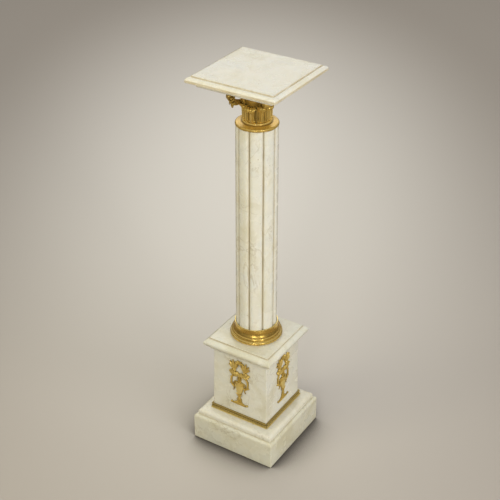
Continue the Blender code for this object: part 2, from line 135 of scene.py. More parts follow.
marbleLook = {
    "colors": {"cream": (0.760, 0.745, 0.645), "warm": (0.680, 0.650, 0.510), "cool": (0.725, 0.725, 0.655),
               "vein": (0.430, 0.370, 0.240), "speck": (0.300, 0.230, 0.120),
               "grimeAndShade": (0.390, 0.300, 0.130), "arris": (0.800, 0.770, 0.670)},
    "cloudScale": 11.0, "mottleScale": 85.0, "mottleShare": 0.24,
    "veins": ((5.0, 0.010, 0.42), (13.0, 0.016, 0.26)),  # scale, thickness and strength
    "speckScale": 190.0, "speckPatchScale": 17.0, "speckShare": 0.75,
    "grimeAndShadePatchScale": 34.0, "grimeAndShadeThinnest": 0.60, "grimeAndShadeShare": 0.72, "grimeAndShadeDulls": 0.25,
    "arrisShare": 0.55, "polishScale": 24.0, "polish": (0.20, 0.34),
    "bump": 0.0003, "glow": 0.12, "glowReach": 0.004,
}
# Each block is cut from another place in the stone, and its colours are scaled by painted light and shade:
# the top slab lighter, the lower blocks darker and yellower.
stoneLook = {
    "plinth": {"place": (0.31, 0.12, 0.05), "lightAndShadeTone": (0.885, 0.875, 0.805)},
    "base_moulding": {"place": (0.72, 0.44, 0.23), "lightAndShadeTone": (0.94, 0.92, 0.87)},
    "die": {"place": (0.18, 0.67, 0.91), "lightAndShadeTone": (0.955, 0.948, 0.920)},
    "die_cap": {"place": (0.05, 0.83, 0.37), "lightAndShadeTone": (0.945, 0.940, 0.900)},
    "shaft": {"place": (0.62, 0.09, 0.54), "lightAndShadeTone": (0.99, 0.985, 0.97)},
    "under_slab": {"place": (0.93, 0.21, 0.66), "lightAndShadeTone": (1.0, 1.0, 1.0)},
    "top_slab": {"place": (0.47, 0.36, 0.81), "lightAndShadeTone": (1.12, 1.11, 1.10)},
}


def toned(color, lightAndShadeTone):
    return tuple(min(0.95, value * share) for value, share in zip(color, lightAndShadeTone))


def marbleMaterial(node):
    look, stone = marbleLook, stoneLook[node]
    colors = {name: toned(color, stone["lightAndShadeTone"]) for name, color in look["colors"].items()}
    material, tree, shader = newMaterial(f"{node}Marble", 0.0)
    where = placedCoordinates(tree, stone["place"], (0.45, 0.30, 0.60))
    clouds = noiseOf(tree, where, look["cloudScale"], 5.0, 0.55, 0.7)
    stops = ((0.34, colors["warm"]), (0.50, colors["cream"]), (0.66, colors["cool"]))
    color = colorRamp(tree, clouds, stops)
    mottle = noiseOf(tree, where, look["mottleScale"], 4.0, 0.6)
    color = mixColor(tree, ramped(tree, mottle, 0.35, 0.70, 0.0, look["mottleShare"]), color, colors["warm"])
    # Veins run where two stretched noises cross their middle value.
    veinWhere = placedCoordinates(tree, stone["place"], (0.9, 0.5, 0.2), (1.0, 2.2, 0.8))
    for scale, thin, most in look["veins"]:
        field = noiseOf(tree, veinWhere, scale, 6.0, 0.58, 0.9)
        offMiddle = mathOf(tree, "ABSOLUTE", minus(tree, field, 0.5))
        line = ramped(tree, offMiddle, 0.0, thin, most, 0.0)
        patch = ramped(tree, noiseOf(tree, where, scale * 1.7, 2.0), 0.46, 0.62)
        color = mixColor(tree, times(tree, line, patch), color, colors["vein"])
    grains = noiseOf(tree, where, look["speckScale"], 2.0)
    specks = ramped(tree, grains, 0.685, 0.73, 0.0, look["speckShare"])
    patch = ramped(tree, noiseOf(tree, where, look["speckPatchScale"], 2.0), 0.50, 0.66)
    color = mixColor(tree, times(tree, specks, patch), color, colors["speck"])
    # Outer corners are painted paler, as worn arrises with painted highlight.
    wornAndHighlit = times(tree, attributeShare(tree, "wearAndHighlight"), look["arrisShare"])
    color = mixColor(tree, wornAndHighlit, color, colors["arris"])
    # Feet, inner corners and the shaft's slits are darkened with grime and painted shade.
    heldAndShaded = attributeShare(tree, "grimeAndShade")
    uneven = ramped(tree, noiseOf(tree, where, look["grimeAndShadePatchScale"]), 0.25, 0.70, look["grimeAndShadeThinnest"])
    oldAndShaded = times(tree, times(tree, heldAndShaded, uneven), look["grimeAndShadeShare"])
    color = mixColor(tree, oldAndShaded, color, colors["grimeAndShade"])
    tree.links.new(color, shader.inputs["Base Color"])
    gloss = ramped(tree, noiseOf(tree, where, look["polishScale"], 4.0), 0.30, 0.75, *look["polish"])
    dull = times(tree, heldAndShaded, look["grimeAndShadeDulls"])
    tree.links.new(plus(tree, gloss, dull), shader.inputs["Roughness"])
    bump = addNode(tree, "ShaderNodeBump", {"Strength": 0.25, "Distance": look["bump"], "Height": mottle})
    tree.links.new(bump.outputs["Normal"], shader.inputs["Normal"])
    shader.inputs["Subsurface Weight"].default_value = look["glow"]
    shader.inputs["Subsurface Radius"].default_value = (1.0, 0.8, 0.5)
    shader.inputs["Subsurface Scale"].default_value = look["glowReach"]
    return material


# Brass: polished castings and duller gilt pieces, all darkened in their hollows by painted shade, with worn
# spots and painted highlights lighter

brassLook = {
    "wornAndHighlit": (0.980, 0.790, 0.300), "wornAndHighlitShare": 0.90, "streakShare": 0.28,
    "hollowShadeShare": 0.85, "grimeAndShadeShare": 0.75, "darkDulls": 0.20, "coatRoughness": 0.12,
    "polished": {"bright": (0.880, 0.590, 0.135), "deep": (0.260, 0.145, 0.022), "hollow": 0.0025,
                 "gloss": (0.21, 0.30), "grain": 240.0, "lift": 0.00001, "coat": 0.35, "metal": 0.90},
    "collar": {"bright": (0.740, 0.490, 0.105), "deep": (0.260, 0.145, 0.022), "hollow": 0.0020,
               "gloss": (0.22, 0.32), "grain": 240.0, "lift": 0.00002, "coat": 0.25, "metal": 0.60},
    "cast": {"bright": (0.740, 0.510, 0.115), "deep": (0.100, 0.060, 0.008), "hollow": 0.0050,
             "gloss": (0.24, 0.36), "grain": 240.0, "lift": 0.00003, "coat": 0.45, "metal": 0.68},
    "gilt": {"bright": (0.780, 0.550, 0.130), "deep": (0.110, 0.070, 0.014), "hollow": 0.0030,
             "gloss": (0.30, 0.44), "grain": 620.0, "lift": 0.00012, "coat": 0.15, "metal": 0.60},
    "strip": {"bright": (0.620, 0.455, 0.125), "deep": (0.150, 0.095, 0.020), "hollow": 0.0018,
              "gloss": (0.30, 0.46), "grain": 620.0, "lift": 0.00014, "coat": 0.10, "metal": 0.70},
}


def brassMaterial(name, look, turned=False):
    shared = brassLook
    material, tree, shader = newMaterial(name, look["metal"])
    where = placedCoordinates(tree, (0.13, 0.07, 0.0))
    streaks = ramped(tree, noiseOf(tree, where, 45.0, 4.0, 0.6), 0.35, 0.75, 0.0, shared["streakShare"])
    color = mixColor(tree, streaks, look["bright"], look["deep"])
    # Hollows are darkened by painted shade from an occlusion node, and the grime attribute adds grime with
    # painted shade.
    inputs = {"Distance": look["hollow"]}
    openness = addNode(tree, "ShaderNodeAmbientOcclusion", inputs, samples=8, only_local=True).outputs["AO"]
    hollow = ramped(tree, openness, 0.25, 0.85, shared["hollowShadeShare"], 0.0)
    heldAndShaded = times(tree, attributeShare(tree, "grimeAndShade"), shared["grimeAndShadeShare"])
    dark = mathOf(tree, "MAXIMUM", hollow, heldAndShaded)
    color = mixColor(tree, dark, color, look["deep"])
    # The wear attribute paints worn spots and painted highlights in the paler worn colour.
    wornAndHighlit = times(tree, attributeShare(tree, "wearAndHighlight"), shared["wornAndHighlitShare"])
    color = mixColor(tree, wornAndHighlit, color, shared["wornAndHighlit"])
    tree.links.new(color, shader.inputs["Base Color"])
    smear = ramped(tree, noiseOf(tree, where, 60.0), 0.3, 0.7, *look["gloss"])
    dull = times(tree, dark, shared["darkDulls"])
    tree.links.new(plus(tree, smear, dull), shader.inputs["Roughness"])
    # Turned pieces carry fine tool lines round the axis.
    grainWhere = placedCoordinates(tree, (0, 0, 0), scale=(0.02, 0.02, 4.0)) if turned else where
    grain = noiseOf(tree, grainWhere, look["grain"], 2.0)
    bump = addNode(tree, "ShaderNodeBump", {"Strength": 0.5, "Distance": look["lift"], "Height": grain})
    tree.links.new(bump.outputs["Normal"], shader.inputs["Normal"])
    shader.inputs["Coat Weight"].default_value = look["coat"]
    shader.inputs["Coat Roughness"].default_value = shared["coatRoughness"]
    return material


# Mesh helpers

grimeShadeAndWearLook = {"foot": 0.9, "grimeAndShadeReach": 0.0022, "wearAndHighlightReach": 0.0012, "wearAndHighlightFrom": 0.35}


def curveArc(start, end, steps, upright=True):
    # Elliptical quarter turn between two (x, z) points, without the first.
    (x0, z0), (x1, z1) = start, end
    points = []
    for i in range(1, steps + 1):
        turn = quarterTurn * i / steps
        if upright:
            points.append((x1 + (x0 - x1) * math.cos(turn), z0 + (z1 - z0) * math.sin(turn)))
        else:
            points.append((x0 + (x1 - x0) * math.sin(turn), z1 + (z0 - z1) * math.cos(turn)))
    return points


def softPath(corners, steps=4):
    # Corners are (x, z) or (x, z, cut), where the cut is what a rounding takes off each way.
    path = []
    for i, corner in enumerate(corners):
        here = Vector(corner[:2])
        cut = corner[2] if len(corner) > 2 else 0.0
        if cut == 0.0 or i in (0, len(corners) - 1):
            path.append(here)
            continue
        before = Vector(corners[i - 1][:2]) - here
        after = Vector(corners[i + 1][:2]) - here
        start = here + before.normalized() * min(cut, before.length / 2)
        end = here + after.normalized() * min(cut, after.length / 2)
        for step in range(steps + 1):
            t = step / steps
            path.append(start * (1 - t) ** 2 + here * 2 * t * (1 - t) + end * t * t)
    return path


def splitLong(path, longest):
    dense = [path[0]]
    for a, b in zip(path, path[1:]):
        count = max(1, math.ceil((b - a).length / longest))
        dense += [a.lerp(b, i / count) for i in range(1, count + 1)]
    return dense


def grimeShadeAndWearMarks(path):
    # Grime with painted shade sits at a profile's foot and in its inner corners, and its outer corners take
    # wear with painted highlight.
    look = grimeShadeAndWearLook
    turns = [-look["foot"]]
    for a, b, c in zip(path, path[1:], path[2:]):
        one, two = b - a, c - b
        if one.length < 1e-9 or two.length < 1e-9:
            turns.append(0.0)
        else:
            turns.append(math.atan2(one.x * two.y - one.y * two.x, one.dot(two)))
    turns.append(0.0)
    grimeAndShade, wearAndHighlight = [], []
    for here in path:
        inner = outer = 0.0
        for there, turn in zip(path, turns):
            gap = (here - there).length
            inner += max(0.0, -turn) * math.exp(-(gap / look["grimeAndShadeReach"]) ** 2)
            outer += max(0.0, turn) * math.exp(-(gap / look["wearAndHighlightReach"]) ** 2)
        grimeAndShade.append(min(1.0, inner))
        wearAndHighlight.append(min(1.0, max(0.0, outer - look["wearAndHighlightFrom"])))
    return grimeAndShade, wearAndHighlight


def meshFrom(name, points, faces):
    mesh = bpy.data.meshes.new(name)
    mesh.from_pydata(points, [], faces)
    mesh.update()
    return mesh


def smoothed(mesh, sharpAbove):
    mesh.shade_smooth()
    mesh.set_sharp_from_angle(angle=math.radians(sharpAbove))
    return mesh


def pointValues(mesh, name, values):
    layer = mesh.attributes.get(name) or mesh.attributes.new(name, "FLOAT", "POINT")
    layer.data.foreach_set("value", values)


def ringFaces(ringCount, ringSize):
    # Quads between rings of points, and a cap on each end.
    last = (ringCount - 1) * ringSize
    faces = [tuple(reversed(range(ringSize))), tuple(range(last, last + ringSize))]
    for low in range(0, last, ringSize):
        for i in range(ringSize):
            j = (i + 1) % ringSize
            faces.append((low + i, low + j, low + ringSize + j, low + ringSize + i))
    return faces


def profileMesh(name, path, ringOf, sharpAbove):
    # Rings made by ringOf(x, z) up the path, with the grime, painted shade, wear and painted highlight of
    # each point.
    rings = [ringOf(spot.x, spot.y) for spot in path]
    size = len(rings[0])
    mesh = meshFrom(name, [point for ring in rings for point in ring], ringFaces(len(rings), size))
    grimeAndShade, wearAndHighlight = grimeShadeAndWearMarks(path)
    pointValues(mesh, "grimeAndShade", [value for value in grimeAndShade for _ in range(size)])
    pointValues(mesh, "wearAndHighlight", [value for value in wearAndHighlight for _ in range(size)])
    return smoothed(mesh, sharpAbove)


def dress(name, mesh, material, slotName, *replaced):
    mesh.name = name
    mesh.materials.clear()
    mesh.materials.append(material)
    piece = bpy.data.objects.new(name, mesh)
    bpy.context.collection.objects.link(piece)
    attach(piece, "root")
    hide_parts(*replaced)


def halfAndHeight(node):
    low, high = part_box(node)
    return high.x, high.z - low.z


def around(angle):
    return Matrix.Rotation(angle, 4, "Z")


# Marble blocks: sizes in metres, heights above each block's own foot

blockLook = {"corner": 0.0016, "cornerSteps": 5, "roundSteps": 10, "longest": 0.0025, "sharpAbove": 50,
             "footCut": 0.0012, "footEdge": 0.0008, "fieldEdge": 0.0009, "fieldFlat": 0.0060}
plinthLook = {"rollWidth": 0.0064, "rollHeight": 0.0078, "crease": 0.0004}
baseLook = {"riser": 0.0082, "ovoloWidth": 0.0106, "crease": 0.0003}
dieCapLook = {"footProud": 0.0016, "step": 0.0016, "coveHeight": 0.0122, "ovoloHeight": 0.0108,
              "mouldingSteps": 8, "crease": 0.0004, "nose": 0.0016, "noseEdge": 0.0006,
              "fieldHalf": 0.0926, "fieldRise": 0.0029}
underSlabLook = {"cut": 0.0024, "edge": 0.0014}
topLook = {"nose": 0.0040, "noseEdge": 0.0003, "groove": 0.0009, "crease": 0.0002, "ovoloWidth": 0.0118,
           "ovoloHeight": 0.0095, "ovoloSteps": 12, "fieldHalf": 0.1131}


def squareRing(half, z):
    # Rounded square, counterclockwise from +X.
    radius = min(blockLook["corner"], half / 2)
    steps = blockLook["cornerSteps"]
    points = []
    for side in range(4):
        middle = Matrix.Rotation(side * quarterTurn, 2) @ Vector((half - radius, half - radius))
        for step in range(steps + 1):
            turn = side * quarterTurn + quarterTurn * step / steps
            points.append((middle.x + radius * math.cos(turn), middle.y + radius * math.sin(turn), z))
    return points


def marbleBlock(node, corners):
    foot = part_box(node)[0].z
    path = softPath([(x, foot + z, *cut) for x, z, *cut in corners])
    mesh = profileMesh(node, splitLong(path, blockLook["longest"]), squareRing, blockLook["sharpAbove"])
    dress(f"{node}Marble", mesh, marbleMaterial(node), "marble", node)


def footCorners(half):
    cut = blockLook["footCut"]
    return [(half - cut, 0.0), (half, cut, blockLook["footEdge"])]


def fieldCorners(half, tall):
    return [(half, tall, blockLook["fieldEdge"]), (half - blockLook["fieldFlat"], tall)]


def makePlinth():
    half, tall = halfAndHeight("plinth")
    roll = (half, tall - plinthLook["rollHeight"])
    corners = footCorners(half) + [(*roll, plinthLook["crease"])]
    corners += curveArc(roll, (half - plinthLook["rollWidth"], tall), blockLook["roundSteps"])
    marbleBlock("plinth", corners)


def makeBaseMoulding():
    half, tall = halfAndHeight("base_moulding")
    roll = (half, baseLook["riser"])
    corners = [(half, 0.0), (*roll, baseLook["crease"])]
    corners += curveArc(roll, (half - baseLook["ovoloWidth"], tall), blockLook["roundSteps"])
    marbleBlock("base_moulding", corners)


def dieTopHalf():
    # The die tapers, so its top's half width is read from the node's highest points.
    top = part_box("die")[1].z
    return max(vertex.co.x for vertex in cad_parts["die"].data.vertices if top - vertex.co.z < 0.0001)


def makeDie():
    half, tall = halfAndHeight("die")
    marbleBlock("die", [(half, 0.0), (dieTopHalf(), tall)])


def makeDieCap():
    look = dieCapLook
    half, tall = halfAndHeight("die_cap")
    topHalf = dieTopHalf()
    foot = (topHalf + look["footProud"], 0.0)
    coveTop = ((topHalf + half) / 2, look["coveHeight"])
    ovoloFoot = (coveTop[0] + look["step"], look["coveHeight"])
    noseFoot = look["coveHeight"] + look["ovoloHeight"]
    corners = [foot] + curveArc(coveTop, foot, look["mouldingSteps"])[-2::-1]
    corners += [coveTop, (*ovoloFoot, look["crease"])]
    corners += curveArc(ovoloFoot, (half, noseFoot), look["mouldingSteps"], upright=False)
    slopeFoot = (half, noseFoot + look["nose"])
    slopeTop = (look["fieldHalf"], tall - look["fieldRise"])
    corners.append((*slopeFoot, look["noseEdge"]))
    # The slope swells half as far as a quarter round would.
    steps = blockLook["roundSteps"]
    for i, (x, z) in enumerate(curveArc(slopeFoot, slopeTop, steps), 1):
        chord = Vector(slopeFoot).lerp(Vector(slopeTop), i / steps)
        corners.append(((x + chord.x) / 2, (z + chord.y) / 2))
    marbleBlock("die_cap", corners + fieldCorners(look["fieldHalf"], tall))


def makeUnderSlab():
    half, tall = halfAndHeight("under_slab")
    cut = underSlabLook["cut"]
    marbleBlock("under_slab", [(half - cut, 0.0), (half, cut, underSlabLook["edge"]), (half, tall)])


def makeTopSlab():
    look = topLook
    half, tall = halfAndHeight("top_slab")
    ovoloTop = look["nose"] + look["ovoloHeight"]
    groove = look["groove"]
    foot = (half - groove / 2, look["nose"] + groove)
    corners = footCorners(half) + [(half, look["nose"] - groove / 2, look["noseEdge"]),
                                   (half - groove, look["nose"] + groove / 4, look["crease"]), foot]
    corners += curveArc(foot, (half - look["ovoloWidth"], ovoloTop), look["ovoloSteps"])
    corners.append((look["fieldHalf"], ovoloTop, look["crease"]))
    marbleBlock("top_slab", corners + fieldCorners(look["fieldHalf"], tall))


def makeMarbleBlocks():
    makePlinth()
    makeBaseMoulding()
    makeDie()
    makeDieCap()
    makeUnderSlab()
    makeTopSlab()
    print("marble blocks done")


# Geometry Nodes helpers

def newTree(name, sockets):
    # A tree that gives one mesh, with its named inputs and their kinds.
    tree = bpy.data.node_groups.new(name, "GeometryNodeTree")
    tree.interface.new_socket("Geometry", in_out="OUTPUT", socket_type="NodeSocketGeometry")
    for socket, kind in sockets.items():
        tree.interface.new_socket(socket, in_out="INPUT", socket_type=f"NodeSocket{kind}")
    return tree, addNode(tree, "NodeGroupInput").outputs


def finishTree(tree, geometry, material):
    real = addNode(tree, "GeometryNodeRealizeInstances", {"Geometry": geometry}).outputs["Geometry"]
    finished = addNode(tree, "GeometryNodeSetMaterial", {"Geometry": real, "Material": material})
    addNode(tree, "NodeGroupOutput", {"Geometry": finished.outputs["Geometry"]})
    return tree


def meshFromTree(tree, values, carrier=None):
    # Runs a tree on a carrier mesh, or on an empty one, and returns the plain mesh it makes.
    source = bpy.data.objects.new(tree.name, carrier or bpy.data.meshes.new(tree.name))
    bpy.context.collection.objects.link(source)
    modifier = source.modifiers.new(tree.name, "NODES")
    modifier.node_group = tree
    for item in tree.interface.items_tree:
        if item.in_out == "INPUT" and item.name in values:
            modifier[item.identifier] = values[item.name]
    graph = bpy.context.evaluated_depsgraph_get()
    mesh = bpy.data.meshes.new_from_object(source.evaluated_get(graph), depsgraph=graph)
    source.modifiers.remove(modifier)
    bpy.data.objects.remove(source, do_unlink=True)
    return mesh


# Shaft: a tree bends a plain cylinder into convex lobes parted by slits

shaftLook = {"Lobes": 9, "Lobe Fall": 0.0048, "Lobe Power": 4.0, "Slit Depth": 0.0013, "Slit Start": 0.880,
             "Grime And Shade Start": 0.76, "Around A Lobe": 40, "Up": 60}
shaftSharpAbove = 60


def shaftTree(material):
    sizes = ("Foot Radius", "Top Radius", "Foot Height", "Height", "Lobe Fall", "Lobe Power", "Slit Depth",
             "Slit Start", "Grime And Shade Start")
    counts = ("Lobes", "Around A Lobe", "Up")
    tree, given = newTree("lobedShaft", {**dict.fromkeys(sizes, "Float"), **dict.fromkeys(counts, "Int")})
    vertices = times(tree, given["Lobes"], given["Around A Lobe"])
    inputs = {"Vertices": vertices, "Side Segments": given["Up"], "Radius": 1.0, "Depth": 1.0}
    tube = addNode(tree, "GeometryNodeMeshCylinder", inputs, fill_type="NGON").outputs["Mesh"]
    spot = addNode(tree, "GeometryNodeInputPosition").outputs["Position"]
    axes = addNode(tree, "ShaderNodeSeparateXYZ", {0: spot}).outputs
    # The count runs up by one across each lobe, and the small addition keeps the seam in one lobe.
    angle = mathOf(tree, "DIVIDE", mathOf(tree, "ARCTAN2", axes["Y"], axes["X"]), 2 * math.pi)
    count = plus(tree, times(tree, plus(tree, angle, 1.0), given["Lobes"]), 0.0001)
    lobe = mathOf(tree, "FLOOR", count)
    # The mark runs from -1 to 1 across a lobe, and the points are crowded towards the slits.
    mark = minus(tree, times(tree, mathOf(tree, "FRACT", count), 2.0), 1.0)
    crowding = minus(tree, 1.5, times(tree, times(tree, mark, mark), 0.5))
    mark = times(tree, mark, crowding)
    turn = plus(tree, lobe, times(tree, plus(tree, mark, 1.0), 0.5))
    turn = times(tree, mathOf(tree, "DIVIDE", turn, given["Lobes"]), 2 * math.pi)
    size = mathOf(tree, "ABSOLUTE", mark)
    rise = plus(tree, axes["Z"], 0.5)
    taper = times(tree, minus(tree, given["Foot Radius"], given["Top Radius"]), rise)
    fall = times(tree, mathOf(tree, "POWER", size, given["Lobe Power"]), given["Lobe Fall"])
    inputs = {"Value": size, "From Min": given["Slit Start"], "From Max": 1.0}
    slit = times(tree, addNode(tree, "ShaderNodeMapRange", inputs).outputs["Result"], given["Slit Depth"])
    reach = minus(tree, minus(tree, minus(tree, given["Foot Radius"], taper), fall), slit)
    inputs = {"X": times(tree, reach, mathOf(tree, "COSINE", turn)),
              "Y": times(tree, reach, mathOf(tree, "SINE", turn)),
              "Z": plus(tree, times(tree, rise, given["Height"]), given["Foot Height"])}
    place = addNode(tree, "ShaderNodeCombineXYZ", inputs).outputs["Vector"]
    # The grime with painted shade near the slits is kept on the points before they move, so it reads the
    # same mark.
    inputs = {"Geometry": tube, "Name": "grimeAndShade", "Value": ramped(tree, size, given["Grime And Shade Start"], 1.0)}
    kept = addNode(tree, "GeometryNodeStoreNamedAttribute", inputs, data_type="FLOAT", domain="POINT")
    inputs = {"Geometry": kept.outputs["Geometry"], "Position": place}
    moved = addNode(tree, "GeometryNodeSetPosition", inputs).outputs["Geometry"]
    return finishTree(tree, moved, material)


def shaftRadii():
    # The greatest reach of the node's lower and upper halves.
    low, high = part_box("shaft")
    radii = [0.0, 0.0]
    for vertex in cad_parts["shaft"].data.vertices:
        end = int(vertex.co.z > (low.z + high.z) / 2)
        radii[end] = max(radii[end], math.hypot(vertex.co.x, vertex.co.y))
    return radii


def makeShaft():
    low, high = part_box("shaft")
    footRadius, topRadius = shaftRadii()
    material = marbleMaterial("shaft")
    values = {**shaftLook, "Foot Radius": footRadius, "Top Radius": topRadius, "Foot Height": low.z,
              "Height": high.z - low.z}
    mesh = smoothed(meshFromTree(shaftTree(material), values), shaftSharpAbove)
    dress("shaftMarble", mesh, material, "marble", "shaft")
    print("shaft done")


# Turned brass: profiles as shares of each ring's height, and of its rim or its spread past the lip

ringLook = {
    "steps": 144, "longest": 0.0012, "edgeSteps": 6, "sharpAbove": 40,
    "socketClearance": 0.0010, "lip": 0.0022, "lipEdge": 0.0006, "cupFloor": 0.0080,
    "torus": {"height": 0.235, "steps": 12},
    "shoulder": ((0.72, 0.235, 0.0003), (0.72, 0.285, 0.0003)),
    "cove": ((0.72, 0.285), (0.36, 0.46)), "coveSteps": 8,
    "throat": ((0.30, 0.50, 0.0004), (0.04, 0.66, 0.003), (-0.03, 0.80, 0.003), (-0.03, 0.91, 0.0004),
               (0.0, 0.94, 0.0004), (0.0, 1.0, 0.0006)),
    "collar": ((0.97, 0.0), (1.0, 0.10, 0.001), (1.0, 0.36, 0.0025), (0.955, 0.49, 0.002),
               (0.90, 0.50, 0.002), (0.80, 0.56, 0.003), (0.695, 0.66, 0.0004), (0.71, 0.78, 0.0012),
               (0.71, 0.88, 0.0012), (0.68, 1.0, 0.0008), (0.64, 1.0)),
}


def turnedRing(node, corners, material):
    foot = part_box(node)[0].z
    path = softPath([(x, foot + z, *cut) for x, z, *cut in corners], ringLook["edgeSteps"])

    def circle(radius, z):
        steps = ringLook["steps"]
        turns = [2 * math.pi * i / steps for i in range(steps)]
        return [(radius * math.cos(turn), radius * math.sin(turn), z) for turn in turns]

    mesh = profileMesh(node, splitLong(path, ringLook["longest"]), circle, ringLook["sharpAbove"])
    dress(f"{node}Brass", mesh, material, "polished_brass", node)


def makeBaseRing():
    look = ringLook
    rim, tall = halfAndHeight("base_ring")
    socket = shaftRadii()[0] + look["socketClearance"]
    lip = socket + look["lip"]

    def sized(corners):
        return [(lip + x * (rim - lip), z * tall, *cut) for x, z, *cut in corners]

    steps = look["torus"]["steps"]
    radius = look["torus"]["height"] * tall / 2
    turns = [math.pi * i / steps for i in range(steps + 1)]
    corners = [(rim - radius + math.sin(turn) * radius, radius - math.cos(turn) * radius) for turn in turns]
    corners += sized(look["shoulder"])
    corners += curveArc(*sized(look["cove"]), look["coveSteps"])
    corners += sized(look["throat"])
    corners += [(socket, tall, look["lipEdge"]), (socket, look["cupFloor"])]
    turnedRing("base_ring", corners, turnedBrass)


def makeNeckingRing():
    rim, tall = halfAndHeight("necking_ring")
    corners = [(x * rim, z * tall, *cut) for x, z, *cut in ringLook["collar"]]
    turnedRing("necking_ring", corners, collarBrass)


def makeTurnedRings():
    makeBaseRing()
    makeNeckingRing()
    print("turned rings done")


# Parts are (points, faces) or (points, faces, wear with painted highlight), joined into one mesh for each
# casting

def smoothCurve(spots, count):
    # Evenly numbered samples of a smooth curve through the spots, which are tuples of any length.
    spots = [Vector(spot) for spot in spots]
    samples = []
    for i in range(count):
        place = i * (len(spots) - 1) / (count - 1)
        k = min(int(place), len(spots) - 2)
        t = place - k
        a, b, c, d = spots[max(k - 1, 0)], spots[k], spots[k + 1], spots[min(k + 2, len(spots) - 1)]
        samples.append(0.5 * (2 * b + (c - a) * t + (2 * a - 5 * b + 4 * c - d) * t ** 2
                              + (3 * b - a - 3 * c + d) * t ** 3))
    return samples


def evenly(values, count):
    return [value.x for value in smoothCurve([(value, 0.0) for value in values], count)]


def rightOf(path):
    # Unit directions to the right of a flat path as it runs.
    found = []
    for i in range(len(path)):
        along = path[min(i + 1, len(path) - 1)] - path[max(i - 1, 0)]
        found.append(Vector((along.y, -along.x)).normalized())
    return found


def loftPart(rings):
    return [Vector(point) for ring in rings for point in ring], ringFaces(len(rings), len(rings[0]))


def movedPart(part, matrix):
    return [matrix @ point for point in part[0]], *part[1:]


def turnedOut(mesh):
    shell = bmesh.new()
    shell.from_mesh(mesh)
    bmesh.ops.recalc_face_normals(shell, faces=shell.faces)
    shell.to_mesh(mesh)
    shell.free()
    return mesh


def joinParts(name, parts, sharpAbove):
    points, faces, wearAndHighlight = [], [], []
    for partPoints, partFaces, *partWearAndHighlight in parts:
        start = len(points)
        points += partPoints
        wearAndHighlight += partWearAndHighlight[0] if partWearAndHighlight else [0.0] * len(partPoints)
        faces += [tuple(start + index for index in face) for face in partFaces]
    mesh = meshFrom(name, points, faces)
    pointValues(mesh, "wearAndHighlight", wearAndHighlight)
    return smoothed(turnedOut(mesh), sharpAbove)


# Capital: shares of its foot radius across and of its height up

capitalLook = {
    "foot": 0.0338, "reach": 0.0770, "turn": 6.0, "sharpAbove": 45, "steps": 64, "samples": 24,
    "bell": ((0.97, 0.0), (0.97, 0.05), (0.91, 0.10), (0.90, 0.40), (0.98, 0.64), (1.18, 0.88)),
    "faceLeaf": {"spine": ((0.99, 0.005), (1.00, 0.14), (1.02, 0.28), (1.09, 0.39), (1.22, 0.440),
                           (1.34, 0.42), (1.39, 0.37), (1.35, 0.33)),
                 "widths": (0.70, 0.78, 0.74, 0.88, 1.05, 1.10, 1.00, 0.70)},
    "cornerLeaf": {"spine": ((0.99, 0.005), (1.00, 0.16), (1.06, 0.31), (1.24, 0.43), (1.50, 0.51),
                             (1.76, 0.555), (1.90, 0.53), (1.88, 0.47)),
                   "widths": (0.68, 0.78, 0.78, 0.96, 1.14, 1.18, 1.06, 0.76)},
    "leftCornerLeaf": {"spine": ((0.99, 0.005), (1.00, 0.16), (1.05, 0.31), (1.22, 0.42), (1.50, 0.50),
                                 (1.80, 0.540), (1.98, 0.535), (2.00, 0.50)),
                       "droop": 0.22},
    "rightLeafShare": 0.45,
    "sheath": {"spine": ((1.01, 0.0), (1.03, 0.15), (1.05, 0.30), (1.10, 0.42), (1.17, 0.45), (1.17, 0.41)),
               "widths": (0.34, 0.40, 0.42, 0.44, 0.40, 0.22)},
    "leaf": {"up": 44, "over": 22, "thickness": 0.055, "thinEdge": 0.55, "lobes": 5, "notch": 0.24,
             "rib": 0.060, "ribWidth": 0.13, "flutes": 2.5, "flute": 0.030, "ripple": 0.030,
             "rippleSweep": 0.14, "cup": 0.10, "curlFrom": 0.45,
             "ribWearAndHighlight": 0.90, "ribWearAndHighlightWidth": 0.10, "crestWearAndHighlight": 0.45, "lipWearAndHighlight": 0.70, "lipAt": 0.84,
             "lipWidth": 0.12},
    "volute": {"size": 0.28, "breadth": 0.20, "turns": 2.2, "ridge": 0.050, "height": 0.68, "inset": 0.98},
    "stem": {"path": ((1.00, 0.44), (1.06, 0.70), (1.18, 0.90), (1.40, 0.965), (1.64, 0.950)),
             "halves": (0.17, 0.29), "thickness": 0.16, "pastEye": 0.02, "samples": 26},
    "helix": {"size": 0.120, "breadth": 0.08, "turns": 1.6, "ridge": 0.022, "reach": 1.18, "height": 0.70,
              "angle": 17.0},
    "rosette": {"petals": 6, "radius": 0.27, "proud": 0.16, "reach": 1.30, "height": 0.90},
    "abacus": {"steps": 20, "nib": 0.085, "hollow": 0.30,
               "levels": ((0.88, 0.845), (0.90, 0.845, 0.004), (0.925, 0.90, 0.01), (0.94, 0.915, 0.004),
                          (0.975, 0.925, 0.004), (1.0, 0.94, 0.01), (1.0, 0.985, 0.006), (0.985, 1.0))},
}


